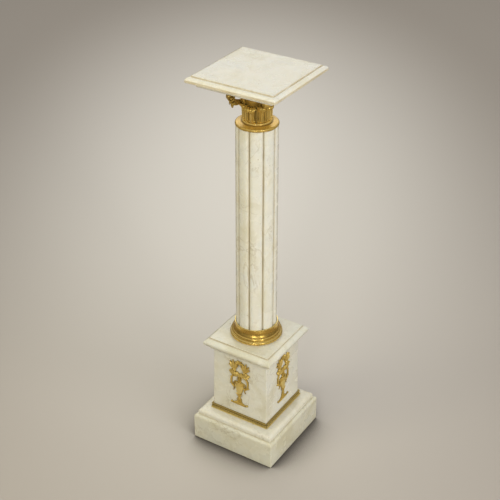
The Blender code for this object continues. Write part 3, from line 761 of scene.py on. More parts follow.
def acanthusLeaf(look, foot, tall):
    # A ribbed, lobed leaf wrapped round the bell, with its spine on +X.
    leaf = capitalLook["leaf"]
    up, over = leaf["up"], leaf["over"]
    spine = smoothCurve([(r * foot, z * tall) for r, z in look["spine"]], up + 1)
    widths = evenly([width * foot for width in look["widths"]], up + 1)
    rings, wearAndHighlight = [], []
    for i, (spot, width, out) in enumerate(zip(spine, widths, rightOf(spine))):
        u = i / up
        lobe = abs(math.sin(math.pi * leaf["lobes"] * u))
        curl = max(0.0, (u - leaf["curlFrom"]) / (1 - leaf["curlFrom"]))
        lip = max(0.0, 1 - abs(u - leaf["lipAt"]) / leaf["lipWidth"])
        front, back = [], []
        for j in range(over + 1):
            v = 2 * j / over - 1
            side = abs(v)
            across = v * width / 2 * (1 - leaf["notch"] * (1 - lobe) * side ** 2 * min(1.0, 2.5 * u))
            ridge = math.cos(2 * math.pi * leaf["flutes"] * v)
            ripple = math.cos(2 * math.pi * leaf["lobes"] * (u - leaf["rippleSweep"] * side))
            lift = leaf["rib"] * math.exp(-(v / leaf["ribWidth"]) ** 2)
            lift += leaf["flute"] * ridge * (1 - 0.6 * curl)
            lift += leaf["ripple"] * ripple * side * curl
            lift -= leaf["cup"] * side ** 2.5 * (1 - 1.2 * curl)
            droop = look.get("droop", 0.0) * side ** 2 * curl
            reach = spot.x + out.x * lift * foot
            height = spot.y + (out.y * lift - droop) * foot
            thick = leaf["thickness"] * foot * (1 - leaf["thinEdge"] * side ** 4)
            for row, sunk in ((front, 0.0), (back, thick)):
                radius = reach - out.x * sunk
                turn = across / max(radius, foot)
                row.append((radius * math.cos(turn), radius * math.sin(turn), height - out.y * sunk))
            # Ribs, crests and lips are painted paler with wear and painted highlight.
            rubbedAndHighlit = leaf["ribWearAndHighlight"] * math.exp(-(v / leaf["ribWearAndHighlightWidth"]) ** 2)
            rubbedAndHighlit += leaf["crestWearAndHighlight"] * max(0.0, ridge) * (1 - side) + leaf["lipWearAndHighlight"] * lip
            wearAndHighlight.append(min(1.0, rubbedAndHighlit))
        wearAndHighlight += [0.0] * len(back)
        rings.append(front + back[::-1])
    return *loftPart(rings), wearAndHighlight


def scrollPart(radius, height, look, foot):
    # A volute standing on the radial plane of +X, its faces cut with a spiral.
    size, breadth = look["size"] * foot, look["breadth"] * foot
    steps, rows = 56, 20
    rings = []
    for face in (-1, 1):
        marks = [0.10 + 0.90 * row / rows for row in range(rows + 1)]
        for mark in (marks if face < 0 else marks[::-1]):
            ring = []
            for step in range(steps):
                turn = 2 * math.pi * step / steps
                phase = look["turns"] * mark - turn / (2 * math.pi)
                groove = math.cos(2 * math.pi * phase) * look["ridge"] * foot * min(1.0, 6 * (1 - mark))
                eye = 0.75 * breadth * math.exp(-(mark / 0.26) ** 2)
                side = face * (breadth * (0.80 + 0.25 * mark) + groove + eye)
                rim = size * mark
                ring.append((radius + rim * math.cos(turn), side, height + rim * math.sin(turn)))
            rings.append(ring)
    return loftPart(rings)


def channelPart(path, halfWidths, thickness):
    # A ribbon with raised edges along a (radius, height) path on the radial plane of +X.
    marks = (-1.0, -0.92, -0.72, -0.55, 0.0, 0.55, 0.72, 0.92, 1.0)
    lifts = (0.2, 0.9, 0.9, 0.25, 0.45, 0.25, 0.9, 0.9, 0.2)
    rings = []
    for spot, half, out in zip(path, halfWidths, rightOf(path)):
        ring = []
        for mark, lift in zip(marks, lifts):
            raised = spot + out * thickness * lift
            ring.append((raised.x, mark * half, raised.y))
        sunk = spot - out * thickness * 0.5
        ring += [(sunk.x, half, sunk.y), (sunk.x, -half, sunk.y)]
        rings.append(ring)
    return loftPart(rings)


def flowerPart(petals, radius, height):
    # A rosette facing +X at the origin, its petals round a button.
    steps, rows = petals * 8, 9
    rings = []
    for row in range(rows, 0, -1):
        mark = row / rows
        ring = []
        for step in range(steps):
            turn = 2 * math.pi * step / steps
            petal = abs(math.cos(petals * turn / 2))
            reach = radius * mark * (1 - 0.30 * (1 - petal) * mark)
            lift = height * (0.55 * math.sin(math.pi * min(1.0, mark * 0.85)) * (0.5 + 0.5 * petal)
                             + 0.65 * math.exp(-(mark / 0.25) ** 2))
            ring.append((lift, reach * math.cos(turn), reach * math.sin(turn)))
        rings.append(ring)
    foot = [(-0.2 * height, y, z) for _, y, z in rings[0]]
    return loftPart([foot] + rings)


def bellPart(foot, tall):
    look = capitalLook
    bell = smoothCurve([(r * foot, z * tall) for r, z in look["bell"]], look["samples"])
    turns = [2 * math.pi * i / look["steps"] for i in range(look["steps"])]
    return loftPart([[(p.x * math.cos(t), p.x * math.sin(t), p.y) for t in turns] for p in bell])


def abacusPart(tall, reach):
    # A moulded plate with hollowed sides and cut corners.
    look = capitalLook["abacus"]
    corner = reach * math.sqrt(0.5)
    nib = look["nib"] * reach
    outline = []
    for side in range(4):
        turn = Matrix.Rotation(side * quarterTurn, 2)
        for i in range(look["steps"] + 1):
            mark = 2 * i / look["steps"] - 1
            out = corner + nib - look["hollow"] * reach * (1 - mark ** 2)
            outline.append(turn @ Vector((out, mark * (corner - nib))))
    levels = softPath(look["levels"])
    return loftPart([[(p.x * level.x, p.y * level.x, level.y * tall) for p in outline] for level in levels])


def stemPart(eye, foot, tall):
    # The stem of a corner volute rises from the bell and runs into the top of the volute.
    look, volute = capitalLook["stem"], capitalLook["volute"]
    count = look["samples"]
    spots = [(r * foot, z * tall) for r, z in look["path"]]
    spots.append((eye + look["pastEye"] * foot, volute["height"] * tall + volute["size"] * foot))
    narrow, wide = look["halves"]
    halves = [(narrow + (wide - narrow) * i / (count - 1)) * foot for i in range(count)]
    return channelPart(smoothCurve(spots, count), halves, look["thickness"] * foot)


def helixPart(foot, tall):
    # The small helices face outwards, so their spirals are turned square to the radius.
    look = capitalLook["helix"]
    reach, height = look["reach"] * foot, look["height"] * tall
    eye = Matrix.Translation((reach, 0, height))
    return movedPart(scrollPart(reach, height, look, foot), eye @ around(quarterTurn) @ eye.inverted())


def rosettePart(foot, tall):
    look = capitalLook["rosette"]
    place = Matrix.Translation((look["reach"] * foot, 0, look["height"] * tall))
    return movedPart(flowerPart(look["petals"], look["radius"] * foot, look["proud"] * foot), place)


def makeCapital():
    low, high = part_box("capital")
    tall = high.z - low.z
    look = capitalLook
    foot, reach = look["foot"], look["reach"]
    faceLeaf = acanthusLeaf(look["faceLeaf"], foot, tall)
    # The leaf on the right is cast closer to the bell than the other three.
    spine = [(1 + (r - 1) * look["rightLeafShare"], z) for r, z in look["faceLeaf"]["spine"]]
    rightLeaf = acanthusLeaf({**look["faceLeaf"], "spine": spine}, foot, tall)
    cornerLeaf = acanthusLeaf(look["cornerLeaf"], foot, tall)
    # The left corner's leaf is longer than the other three, and its lip hangs.
    leftLeaf = acanthusLeaf({**look["cornerLeaf"], **look["leftCornerLeaf"]}, foot, tall)
    sheath = acanthusLeaf(look["sheath"], foot, tall)
    volute = look["volute"]
    eye = reach - volute["inset"] * volute["size"] * foot
    scroll = scrollPart(eye, volute["height"] * tall, volute, foot)
    stem = stemPart(eye, foot, tall)
    helix = helixPart(foot, tall)
    rosette = rosettePart(foot, tall)
    parts = [bellPart(foot, tall), abacusPart(tall, reach)]
    for side in range(4):
        face = side * quarterTurn
        onFace = (faceLeaf if side else rightLeaf, rosette)
        onCorner = (leftLeaf if side == 2 else cornerLeaf, scroll, stem)
        parts += [movedPart(part, around(face)) for part in onFace]
        parts += [movedPart(part, around(face + quarterTurn / 2)) for part in onCorner]
        for hand in (-1, 1):
            parts.append(movedPart(sheath, around(face + hand * quarterTurn / 4)))
            parts.append(movedPart(helix, around(face + hand * math.radians(look["helix"]["angle"]))))
    place = Matrix.Translation((0, 0, low.z)) @ around(math.radians(look["turn"]))
    mesh = joinParts("capitalBrass", [movedPart(part, place) for part in parts], look["sharpAbove"])
    dress("capitalBrass", mesh, castBrass, "polished_brass", "capital")
    print("capital done")


# Gilt relief: shapes drawn across a face in (x, z), standing out along -Y

def reliefStrip(path, halfWidths, heights, over=10, edge=0.30, crease=0.0, flutes=0, cut=0.0, lift=0.0):
    # A bar along a path, rounded across, with a flat back at the lift.
    rings = []
    for spot, half, height, out in zip(path, halfWidths, heights, rightOf(path)):
        ring = []
        for j in range(over + 1):
            v = 2 * j / over - 1
            crown = (1 - v * v) ** 0.6 * (1 - crease * math.exp(-(v / 0.22) ** 2))
            crown -= cut * (0.5 - 0.5 * math.cos(math.pi * flutes * (v + 1))) * (1 - v * v)
            across = spot + out * half * v
            ring.append((across.x, -lift - height * (edge + (1 - edge) * crown), across.y))
        for v in (1, -1):
            across = spot + out * half * v
            ring.append((across.x, -lift, across.y))
        rings.append(ring)
    return loftPart(rings)


def leafOn(base, angle, length, width, height, bend=0.0, lift=0.0):
    # A small creased leaf from its base along an angle from +X, bending to its left.
    along = Vector((math.cos(angle), math.sin(angle)))
    side = Vector((-along.y, along.x))
    path = smoothCurve([base, base + along * length * 0.55 + side * bend * length * 0.5,
                        base + along * length + side * bend * length * 1.6], 9)
    widths = [width * 0.5 * max(0.06, math.sin(math.pi * (0.08 + 0.90 * (i / 8) ** 0.85))) for i in range(9)]
    heights = [height * (0.55 + 0.45 * math.sin(math.pi * i / 8)) for i in range(9)]
    return reliefStrip(path, widths, heights, over=6, edge=0.35, crease=0.45, lift=lift)


def berryOn(spot, radius, height):
    steps = 10
    rings = []
    for out, share in ((0.0, 1.0), (0.45, 0.96), (0.80, 0.70), (0.97, 0.32), (1.0, 0.08)):
        rings.append([(spot[0] + radius * share * math.cos(2 * math.pi * i / steps), -height * out,
                       spot[1] + radius * share * math.sin(2 * math.pi * i / steps)) for i in range(steps)])
    return loftPart(rings)


def blossomOn(spot, petals, radius, height, lift):
    place = Matrix.Translation((spot[0], -lift, spot[1])) @ around(-quarterTurn)
    return movedPart(flowerPart(petals, radius, height), place)


def leafyBranch(path, count, length, width, height, spread, berries=0.0):
    # Leaves in pairs along a path, leaning forward by the spread to each side.
    parts = []
    for k in range(count):
        at = (k + 0.5) / count * (len(path) - 1)
        low = min(int(at), len(path) - 2)
        spot = path[low].lerp(path[low + 1], at - low)
        run = path[low + 1] - path[low]
        forward = math.atan2(run.y, run.x)
        for hand in (-1, 1):
            swing = forward + hand * spread * (0.85 + 0.30 * ((k * 5 + hand) % 3) / 2)
            size = length * (0.85 + 0.25 * ((k * 7 + 2 * hand) % 4) / 3)
            parts.append(leafOn(spot, swing, size, width, height, 0.12 * hand, 0.15 * height))
        if berries:
            parts.append(berryOn(spot, berries, height * 1.25))
    return parts


# Urn mounts: shares of their half width across, of their height up and of their depth outwards

mountLook = {
    "halfWidth": 0.0280, "height": 0.1500, "depth": 0.0062, "footAboveBand": 0.0290, "gap": 0.0003,
    "foot": ((0.006, 0.80), (0.020, 0.84), (0.040, 0.66), (0.060, 0.42), (0.085, 0.30), (0.110, 0.24),
             (0.138, 0.21)),
    "body": ((0.172, 0.09), (0.195, 0.09), (0.230, 0.15), (0.280, 0.27), (0.340, 0.39), (0.410, 0.48),
             (0.465, 0.520), (0.505, 0.48), (0.530, 0.40)),
    "neck": ((0.525, 0.30), (0.545, 0.20), (0.570, 0.14), (0.610, 0.11), (0.660, 0.12)),
    # Rings round the urn: height, step between its three lines, half width, narrowing and depth.
    "knop": (0.128, 0.010, 0.30, 0.26 / 0.30, 0.62),
    "rims": ((0.462, 0.006, 0.545, 0.97, 1.16), (0.518, 0.006, 0.47, 0.97, 1.20)),
    "footLeaves": {"marks": (-2, -1, 0, 1, 2), "apart": 0.05, "foot": 0.020, "spread": 0.42, "length": 0.085,
                   "width": 0.16, "proud": 0.25, "lift": 0.42},
    "bodyLeaves": {"marks": (-2, -1, 0, 1, 2), "apart": 0.035, "foot": 0.185, "spread": 0.13,
                   "length": 0.105, "width": 0.14, "proud": 0.30, "bend": -0.08, "lift": 0.58, "sink": 0.09},
    "neckLeaves": {"marks": (-2, -1, 1, 2), "foot": 0.545, "spread": 0.50, "length": 0.075, "width": 0.17,
                   "proud": 0.75, "bend": 0.20},
    "crownLeaves": {"marks": (-2, -1, 0, 1, 2), "foot": 0.938, "spread": 0.62, "length": 0.060,
                    "width": 0.17, "proud": 0.80, "lift": 0.05},
    "handle": ((0.40, 0.425), (0.62, 0.400), (0.84, 0.425), (0.95, 0.500), (0.92, 0.580), (0.80, 0.620),
               (0.78, 0.660), (0.86, 0.705)),
    # Leaves on the handle where it turns: across, up, angle and length.
    "handleLeaves": ((0.94, 0.47, -60, 0.050), (0.90, 0.56, 40, 0.045), (0.62, 0.40, -100, 0.045),
                     (0.80, 0.62, 150, 0.050), (0.83, 0.66, 20, 0.045)),
    "ribbon": ((0.46, 0.515), (0.60, 0.490), (0.68, 0.440), (0.60, 0.390), (0.60, 0.350), (0.70, 0.305)),
    "garland": ((0.00, 0.712), (0.20, 0.690), (0.42, 0.684), (0.62, 0.692), (0.80, 0.714), (0.92, 0.744)),
    # Blossoms on the garland: across, up and radius.
    "blossoms": ((0.30, 0.694, 0.21), (0.56, 0.700, 0.19), (0.80, 0.722, 0.21)),
    "arch": ((0.00, 0.962), (0.22, 0.950), (0.42, 0.900), (0.58, 0.840), (0.62, 0.770), (0.64, 0.710)),
    "spray": {"foot": (0.60, 0.790), "angle": 82.0, "spread": 17.0, "length": 0.200, "width": 0.30,
              "shares": ((-2, 0.66), (-1, 0.90), (0, 1.0), (1, 0.92), (2, 0.66))},
    "scroll": {"eye": (0.88, 0.036), "start": {-1: -2.6, 1: -0.54}, "step": 0.42, "size": 0.115,
               "shrink": 0.045, "samples": 18},
    "belly": {"half": 0.46, "foot": 0.27, "top": 0.455, "proud": 0.55}, "darkEdge": 0.50,
    "topWearAndHighlight": 0.70, "sharpAbove": 40,
}
mountWide = mountLook["halfWidth"]
mountTall = mountLook["height"]
mountDeep = mountLook["depth"]


def mountSpot(x, z, hand=1):
    return Vector((hand * x * mountWide, z * mountTall))


def mountPath(pairs, hand, count):
    return smoothCurve([mountSpot(x, z, hand) for x, z in pairs], count)


def uprightPath(pairs, count):
    # A path up the middle, with its half widths, from (up, half width) pairs.
    path = [mountSpot(0.0, height) for height in evenly([height for height, _ in pairs], count)]
    return path, [half * mountWide for half in evenly([half for _, half in pairs], count)]


def mountBar(path, halves, depth, **shape):
    # A bar whose half widths are shares of the mount's and whose depth is one share of it.
    return reliefStrip(path, [half * mountWide for half in halves], [depth * mountDeep] * len(path), **shape)


def mountBerry(spot, radius, proud):
    return berryOn(spot, radius * mountWide, proud * mountDeep)


def mountBlossom(spot, petals, radius, proud, lift):
    return blossomOn(spot, petals, radius * mountWide, proud * mountDeep, lift * mountDeep)


def ringPart(ring, over, edge):
    height, step, half, narrowing, depth = ring
    path = [mountSpot(0, height + k * step) for k in range(3)]
    return mountBar(path, (narrowing * half, half, narrowing * half), depth, over=over, edge=edge)


def leafFan(fan):
    # Leaves spread like a hand from the mount's middle line.
    parts = []
    for mark in fan["marks"]:
        base = mountSpot(fan.get("apart", 0.0) * mark, fan["foot"])
        lift = (fan.get("lift", 0.0) - fan.get("sink", 0.0) * abs(mark)) * mountDeep
        parts.append(leafOn(base, quarterTurn - fan["spread"] * mark, fan["length"] * mountTall,
                            fan["width"] * mountWide, fan["proud"] * mountDeep, fan.get("bend", 0.0) * mark,
                            lift))
    return parts


def urnParts():
    look = mountLook
    path, halves = uprightPath(look["foot"], 22)
    parts = [reliefStrip(path, halves, [0.55 * mountDeep] * 22, over=30, edge=0.45, flutes=5, cut=0.45),
             ringPart(look["knop"], 12, 0.30), *leafFan(look["footLeaves"]),
             mountBerry(mountSpot(0, 0.160), 0.17, 0.80)]
    path, halves = uprightPath(look["body"], 34)
    # The body stands out most where it is widest.
    heights = [mountDeep * min(1.0, 0.45 + half / (0.5 * mountWide) * 0.6) for half in halves]
    parts += [reliefStrip(path, halves, heights, over=28, edge=0.20), *leafFan(look["bodyLeaves"])]
    parts += [ringPart(rim, 26, 0.20) for rim in look["rims"]]
    path, halves = uprightPath(look["neck"], 14)
    parts.append(reliefStrip(path, halves, [0.80 * mountDeep] * 14, over=14, flutes=3, cut=0.40))
    return parts + leafFan(look["neckLeaves"])


def handleParts(hand):
    path = mountPath(mountLook["handle"], hand, 30)
    swell = [0.080 + 0.025 * math.sin(math.pi * i / 29) for i in range(30)]
    parts = [mountBar(path, swell, 0.60, over=8)]
    for x, z, angle, length in mountLook["handleLeaves"]:
        turn = math.radians(angle if hand > 0 else 180 - angle)
        parts.append(leafOn(mountSpot(x, z, hand), turn, length * mountTall, 0.15 * mountWide,
                            0.62 * mountDeep, 0.15 * hand))
    parts.append(mountBerry(mountSpot(0.43, 0.43, hand), 0.10, 0.75))
    return parts


def ribbonPart(hand):
    # The ribbon waves in and out, and narrows towards its end.
    path = mountPath(mountLook["ribbon"], hand, 22)
    halves = [(0.085 + 0.020 * math.sin(2 * math.pi * i / 21)) * mountWide * (1.0 - 0.35 * i / 21)
              for i in range(22)]
    heights = [(0.42 + 0.14 * math.cos(3 * math.pi * i / 21)) * mountDeep for i in range(22)]
    return reliefStrip(path, halves, heights, over=8, edge=0.4, crease=0.5)


def garlandParts(hand):
    path = mountPath(mountLook["garland"], hand, 26)
    swell = [0.10 + 0.07 * abs(math.sin(2.5 * math.pi * i / 25)) for i in range(26)]
    parts = [mountBar(path, swell, 0.62)]
    parts += leafyBranch(path, 6, 0.064 * mountTall, 0.24 * mountWide, 0.85 * mountDeep, 1.0)
    for x, z, size in mountLook["blossoms"]:
        parts.append(mountBlossom(mountSpot(x, z, hand), 5, size, 0.62, 0.55))
    return parts


def archParts(hand):
    path = mountPath(mountLook["arch"], hand, 28)
    parts = [mountBar(path, [0.075] * 28, 0.52, over=8)]
    return parts + leafyBranch(path, 7, 0.052 * mountTall, 0.20 * mountWide, 0.78 * mountDeep, 0.80,
                               0.065 * mountWide)


def sprayParts(hand):
    spray = mountLook["spray"]
    foot = mountSpot(*spray["foot"], hand)
    parts = []
    for mark, share in spray["shares"]:
        turn = math.radians(spray["angle"] + spray["spread"] * mark)
        turn = turn if hand > 0 else math.pi - turn
        parts.append(leafOn(foot, turn, share * spray["length"] * mountTall, spray["width"] * mountWide,
                            0.95 * mountDeep, 0.07 * mark * hand, 0.10 * mountDeep * (2 - abs(mark))))
    parts.append(mountBerry(foot, 0.12, 1.05))
    return parts


def scrollParts(hand):
    # The foot's arms end in small scrolls.
    scroll = mountLook["scroll"]
    eye = mountSpot(*scroll["eye"], hand)
    path = []
    for i in range(scroll["samples"]):
        turn = scroll["start"][hand] + scroll["step"] * i
        size = scroll["size"] * (1 - scroll["shrink"] * i) * mountWide
        path.append(eye + Vector((math.cos(turn), math.sin(turn))) * size)
    return [mountBar(path, [0.035] * len(path), 0.60, over=6), mountBerry(eye, 0.085, 0.55)]


def urnMountMesh():
    look = mountLook
    parts = urnParts()
    for hand in (-1, 1):
        parts += [*handleParts(hand), ribbonPart(hand), *garlandParts(hand), *archParts(hand),
                  *sprayParts(hand), *scrollParts(hand)]
    parts.append(mountBlossom(mountSpot(0, 0.952), 6, 0.20, 0.70, 0.40))
    parts += leafFan(look["crownLeaves"])
    parts.append(mountBlossom(mountSpot(0, 0.700), 5, 0.17, 0.62, 0.50))
    mesh = joinParts("urnMount", parts, look["sharpAbove"])
    # Edges against the marble are darkened with grime and painted shade, and the belly and tops of the urn
    # are painted bright as rubbed wear with painted highlight.
    belly = look["belly"]
    grimeAndShade, wearAndHighlight = [], []
    for vertex in mesh.vertices:
        x, proud, z = abs(vertex.co.x) / mountWide, -vertex.co.y / mountDeep, vertex.co.z / mountTall
        grimeAndShade.append(min(1.0, max(0.0, 1.0 - proud / look["darkEdge"])))
        inBelly = x < belly["half"] and belly["foot"] < z < belly["top"] and proud > belly["proud"]
        rubbedAndHighlit = min(1.0, max(0.0, 2 * (proud - look["topWearAndHighlight"])))
        wearAndHighlight.append(1.0 if inBelly else min(look["topWearAndHighlight"], rubbedAndHighlit))
    pointValues(mesh, "grimeAndShade", grimeAndShade)
    pointValues(mesh, "wearAndHighlight", wearAndHighlight)
    return mesh


def makeUrnMounts():
    look = mountLook
    dieLow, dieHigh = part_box("die")
    lean = math.atan2(dieHigh.x - dieTopHalf(), dieHigh.z - dieLow.z)
    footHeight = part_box("band_front")[1].z + look["footAboveBand"]
    face = dieHigh.x - (footHeight - dieLow.z) * math.tan(lean) + look["gap"] / math.cos(lean)
    stand = Matrix.Translation((0, -face, footHeight)) @ Matrix.Rotation(-lean, 4, "X")
    mount = urnMountMesh()
    for turn, side in enumerate(sides):
        mesh = mount.copy()
        mesh.transform(around(turn * quarterTurn) @ stand)
        dress(f"urnMount.{side}", mesh, giltBrass, "gilt_brass", f"urn_mount_{side}")
    print("urn mounts done")


# Gilt strips: a moulded bar whose running relief a tree sets out

bandLook = {
    "profile": ((0.0, 0.0), (0.0052, 0.0), (0.0056, 0.0010), (0.0050, 0.0022), (0.0038, 0.0030),
                (0.0033, 0.0112), (0.0038, 0.0120), (0.0043, 0.0134), (0.0038, 0.0146), (0.0, 0.0146)),
    "repeats": 24, "motifHeight": 0.0042, "field": 0.0034, "relief": 0.0016, "lowRelief": 0.0013,
    "fieldUp": 0.49, "beads": 60, "beadRadius": 0.0008,
    # Rows of beads: up, as a share of the height, and depth.
    "beadRows": ((0.135, 0.0050), (0.915, 0.0036)),
    "endGap": 0.45, "wearAndHighlightShare": 0.60, "barSharpAbove": 35, "sharpAbove": 40,
}


def rowTree(name, material):
    # Sets copies of the given mesh between two points, every other one turned half round.
    tree, given = newTree(name, {"Geometry": "Geometry", "Start": "Vector", "End": "Vector", "Count": "Int"})
    inputs = {"Count": given["Count"], "Start Location": given["Start"], "Offset": given["End"]}
    line = addNode(tree, "GeometryNodeMeshLine", inputs, mode="END_POINTS").outputs["Mesh"]
    index = addNode(tree, "GeometryNodeInputIndex").outputs["Index"]
    half = times(tree, mathOf(tree, "MODULO", index, 2.0), math.pi)
    turn = addNode(tree, "ShaderNodeCombineXYZ", {"Y": half}).outputs["Vector"]
    inputs = {"Points": line, "Instance": given["Geometry"], "Rotation": turn}
    copies = addNode(tree, "GeometryNodeInstanceOnPoints", inputs).outputs["Instances"]
    return finishTree(tree, copies, material)


def stripBar(back, foot, tall, mitre):
    profile = bandLook["profile"]
    share = tall / profile[-1][1]
    ends = [[(hand * (back + depth - mitre), -back - depth, foot + z * share) for depth, z in profile]
            for hand in (-1, 1)]
    return joinParts("bar", [loftPart(ends)], bandLook["barSharpAbove"])


def leafMotif(pitch):
    look = bandLook
    size, relief, lowRelief = look["motifHeight"], look["relief"], look["lowRelief"]
    return [leafOn(Vector((-0.48 * pitch, -0.32 * size)), 0.55, 0.95 * pitch, 0.62 * size, relief, -0.20),
            leafOn(Vector((-0.10 * pitch, -0.55 * size)), 1.05, 0.50 * pitch, 0.50 * size, lowRelief, 0.15),
            berryOn((0.34 * pitch, -0.50 * size), 0.24 * size, relief)]


def joinedStrip(meshes):
    whole = bmesh.new()
    for mesh in meshes:
        whole.from_mesh(mesh)
    strip = bpy.data.meshes.new("strip")
    whole.to_mesh(strip)
    whole.free()
    return smoothed(turnedOut(strip), bandLook["sharpAbove"])


def makeBands():
    look = bandLook
    low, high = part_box("band_front")
    back, tall, reach = -high.y, high.z - low.z, high.x
    meshes = [stripBar(back, low.z, tall, -low.y - reach)]
    pitch = 2 * (reach - max(depth for depth, _ in look["profile"])) / look["repeats"]
    bead = [berryOn((0, 0), look["beadRadius"], look["beadRadius"])]
    rows = [(leafMotif(pitch), look["repeats"], look["fieldUp"], look["field"])]
    rows += [(bead, look["beads"], up, depth) for up, depth in look["beadRows"]]
    # The relief leans back with the field between the two mouldings.
    (lowDepth, lowHeight), (highDepth, highHeight) = look["profile"][4:6]
    lean = math.atan2(lowDepth - highDepth, highHeight - lowHeight)
    tree = rowTree("runningRelief", stripBrass)
    for parts, count, up, depth in rows:
        shape = joinParts("repeat", parts, look["sharpAbove"])
        shape.transform(Matrix.Rotation(-lean, 4, "X"))
        end = back + depth - look["endGap"] * pitch
        height = low.z + up * tall
        values = {"Start": (-end, -back - depth, height), "End": (end, -back - depth, height),
                  "Count": count}
        meshes.append(meshFromTree(tree, values, shape))
    strip = joinedStrip(meshes)
    # The sunk field is darkened with grime and painted shade, and the relief's tops are painted bright as
    # rubbed wear with painted highlight.
    proud = [(-vertex.co.y - back - look["field"]) / look["relief"] for vertex in strip.vertices]
    proud = [min(1.0, max(0.0, value)) for value in proud]
    pointValues(strip, "grimeAndShade", [1.0 - value for value in proud])
    pointValues(strip, "wearAndHighlight", [look["wearAndHighlightShare"] * value for value in proud])
    for turn, side in enumerate(sides):
        mesh = strip.copy()
        mesh.transform(around(turn * quarterTurn))
        dress(f"strip.{side}", mesh, stripBrass, "gilt_brass", f"band_{side}")
    print("gilt strips done")


# Studio: a pale floor with a pool of light, large soft lights and a sky that is bright overhead

stageLook = {
    "floorSize": 40.0, "pale": (0.860, 0.826, 0.762), "edge": (0.385, 0.348, 0.306),
    "mirrored": (0.240, 0.185, 0.125), "roughness": 0.85, "specular": 0.15,
    "pool": {"aside": -0.04, "behind": 1.71, "across": 1.42, "along": 2.80},
    "shadow": {"reach": 0.15, "open": 0.97, "shut": 0.42, "dark": (0.060, 0.052, 0.045)},
    "sky": ((0.00, (0.10, 0.08, 0.06)), (0.50, (0.12, 0.10, 0.08)), (0.66, (0.42, 0.39, 0.34)),
            (0.85, (0.95, 0.94, 0.92)), (1.00, (1.10, 1.10, 1.08))),
    "skyStrength": 0.60, "backdrop": (0.42, 0.38, 0.33),
    "aim": (0.0, 0.0, 0.5), "mirroredLights": ("left", "right", "back"),
}
lightLook = {
    "key": {"place": (2.6, -0.4, 1.2), "size": (1.8, 1.8), "power": 35.0, "color": (1.0, 0.995, 1.0)},
    "front": {"place": (1.75, -2.75, 2.5), "size": (1.8, 1.8), "power": 16.0, "color": (1.0, 0.98, 0.95)},
    "fill": {"place": (-0.65, -1.5, 1.65), "size": (1.4, 1.4), "power": 8.8, "color": (1.0, 0.94, 0.66)},
    "back": {"place": (-2.1, 3.4, 3.2), "size": (4.0, 2.5), "power": 38.0, "color": (1.0, 0.98, 0.95)},
    "left": {"place": (1.15, -2.95, 1.80), "size": (0.42, 0.8), "power": 13.0, "color": (1.0, 0.98, 0.92)},
    "right": {"place": (2.68, -1.75, 1.80), "size": (0.42, 0.8), "power": 13.0, "color": (1.0, 0.98, 0.92)},
    "side": {"place": (-0.95, -1.30, 1.15), "size": (0.5, 0.5), "power": 3.4, "color": (1.0, 0.96, 0.84)},
}
cameraLook = {"azimuth": 32.32, "elevation": 31.27, "distance": 2.8686, "aside": -0.01746,
              "lookHeight": 0.5988, "focalPixels": 1095.3, "imagePixels": 500.0, "sensor": 36.0}


def paperMaterial():
    material, tree, shader = newMaterial("floorPaper", 0.0)
    # The paper is palest in a pool of light behind the column, and darkens close about the plinth.
    pool, shadow = stageLook["pool"], stageLook["shadow"]
    turn = math.radians(cameraLook["azimuth"])
    middle = Matrix.Rotation(turn, 2) @ Vector((pool["aside"], pool["behind"]))
    base = addNode(tree, "ShaderNodeTexCoord").outputs["Object"]
    inputs = {"Vector": base, "Location": (*middle, 0.0), "Rotation": (0.0, 0.0, turn),
              "Scale": (pool["across"], pool["along"], 1.0)}
    where = addNode(tree, "ShaderNodeMapping", inputs, vector_type="TEXTURE").outputs["Vector"]
    away = addNode(tree, "ShaderNodeVectorMath", {0: where}, operation="LENGTH").outputs["Value"]
    color = mixColor(tree, ramped(tree, away, 0.0, 1.0), stageLook["pale"], stageLook["edge"])
    inputs = {"Distance": shadow["reach"]}
    openness = addNode(tree, "ShaderNodeAmbientOcclusion", inputs, samples=16).outputs["AO"]
    shade = ramped(tree, openness, shadow["shut"], shadow["open"], 1.0, 0.0)
    color = mixColor(tree, shade, color, shadow["dark"])
    # Brass mirrors a darker room than the one that the paper shows.
    mirrored = addNode(tree, "ShaderNodeLightPath").outputs["Is Glossy Ray"]
    color = mixColor(tree, mirrored, color, stageLook["mirrored"])
    tree.links.new(color, shader.inputs["Base Color"])
    shader.inputs["Roughness"].default_value = stageLook["roughness"]
    shader.inputs["Specular IOR Level"].default_value = stageLook["specular"]
    return material


def makeFloor():
    size = stageLook["floorSize"]
    corners = [(-size, -size, 0.0), (size, -size, 0.0), (size, size, 0.0), (-size, size, 0.0)]
    mesh = meshFrom("floor", corners, [(0, 1, 2, 3)])
    mesh.materials.append(paperMaterial())
    floor = bpy.data.objects.new("floor", mesh)
    bpy.context.collection.objects.link(floor)


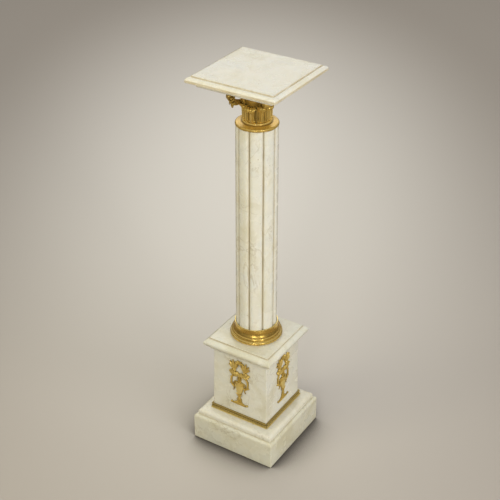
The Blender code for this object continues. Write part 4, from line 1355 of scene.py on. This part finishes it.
def makeSky():
    # Soft light comes from overhead, and the sides of the room stay dark for the brass to mirror.
    world = bpy.data.worlds.new("studioSky")
    world.use_nodes = True
    tree = world.node_tree
    background = tree.nodes["Background"]
    direction = addNode(tree, "ShaderNodeTexCoord").outputs["Generated"]
    upward = addNode(tree, "ShaderNodeSeparateXYZ", {0: direction}).outputs["Z"]
    light = colorRamp(tree, times(tree, plus(tree, upward, 1.0), 0.5), stageLook["sky"])
    seen = addNode(tree, "ShaderNodeLightPath").outputs["Is Camera Ray"]
    tree.links.new(mixColor(tree, seen, light, stageLook["backdrop"]), background.inputs["Color"])
    background.inputs["Strength"].default_value = stageLook["skyStrength"]
    bpy.context.scene.world = world


def makeLights():
    for name, look in lightLook.items():
        light = bpy.data.lights.new(f"{name}Light", "AREA")
        light.shape = "RECTANGLE"
        light.size, light.size_y = look["size"]
        light.energy = look["power"]
        light.color = look["color"]
        lamp = bpy.data.objects.new(f"{name}Light", light)
        place = Vector(look["place"])
        lamp.location = place
        lamp.rotation_euler = (place - Vector(stageLook["aim"])).to_track_quat("Z", "Y").to_euler()
        lamp.visible_camera = False
        # Only two small lights and the large back one are mirrored in the brass and the polish.
        lamp.visible_glossy = name in stageLook["mirroredLights"]
        bpy.context.collection.objects.link(lamp)


def makeStudio():
    makeFloor()
    makeSky()
    makeLights()
    print("studio done")


def makeCamera():
    look = cameraLook
    azimuth, elevation = math.radians(look["azimuth"]), math.radians(look["elevation"])
    back = Vector((math.sin(azimuth) * math.cos(elevation), -math.cos(azimuth) * math.cos(elevation),
                   math.sin(elevation)))
    right = Vector((math.cos(azimuth), math.sin(azimuth), 0.0))
    camera = bpy.data.cameras.new("camera")
    camera.sensor_width = look["sensor"]
    camera.lens = look["focalPixels"] / look["imagePixels"] * look["sensor"]
    camera.clip_end = 200.0
    stand = bpy.data.objects.new("camera", camera)
    stand.location = Vector((0, 0, look["lookHeight"])) + right * look["aside"] + back * look["distance"]
    stand.rotation_euler = Matrix((right, back.cross(right), back)).transposed().to_euler()
    bpy.context.collection.objects.link(stand)
    bpy.context.scene.camera = stand


turnedBrass = brassMaterial("turnedBrass", brassLook["polished"], turned=True)
collarBrass = brassMaterial("collarBrass", brassLook["collar"], turned=True)
castBrass = brassMaterial("castBrass", brassLook["cast"])
giltBrass = brassMaterial("giltBrass", brassLook["gilt"])
stripBrass = brassMaterial("stripBrass", brassLook["strip"])

makeCamera()
makeStudio()
makeMarbleBlocks()
makeShaft()
makeTurnedRings()
makeCapital()
makeUrnMounts()
makeBands()
bpy.context.scene.view_settings.view_transform = "Standard"
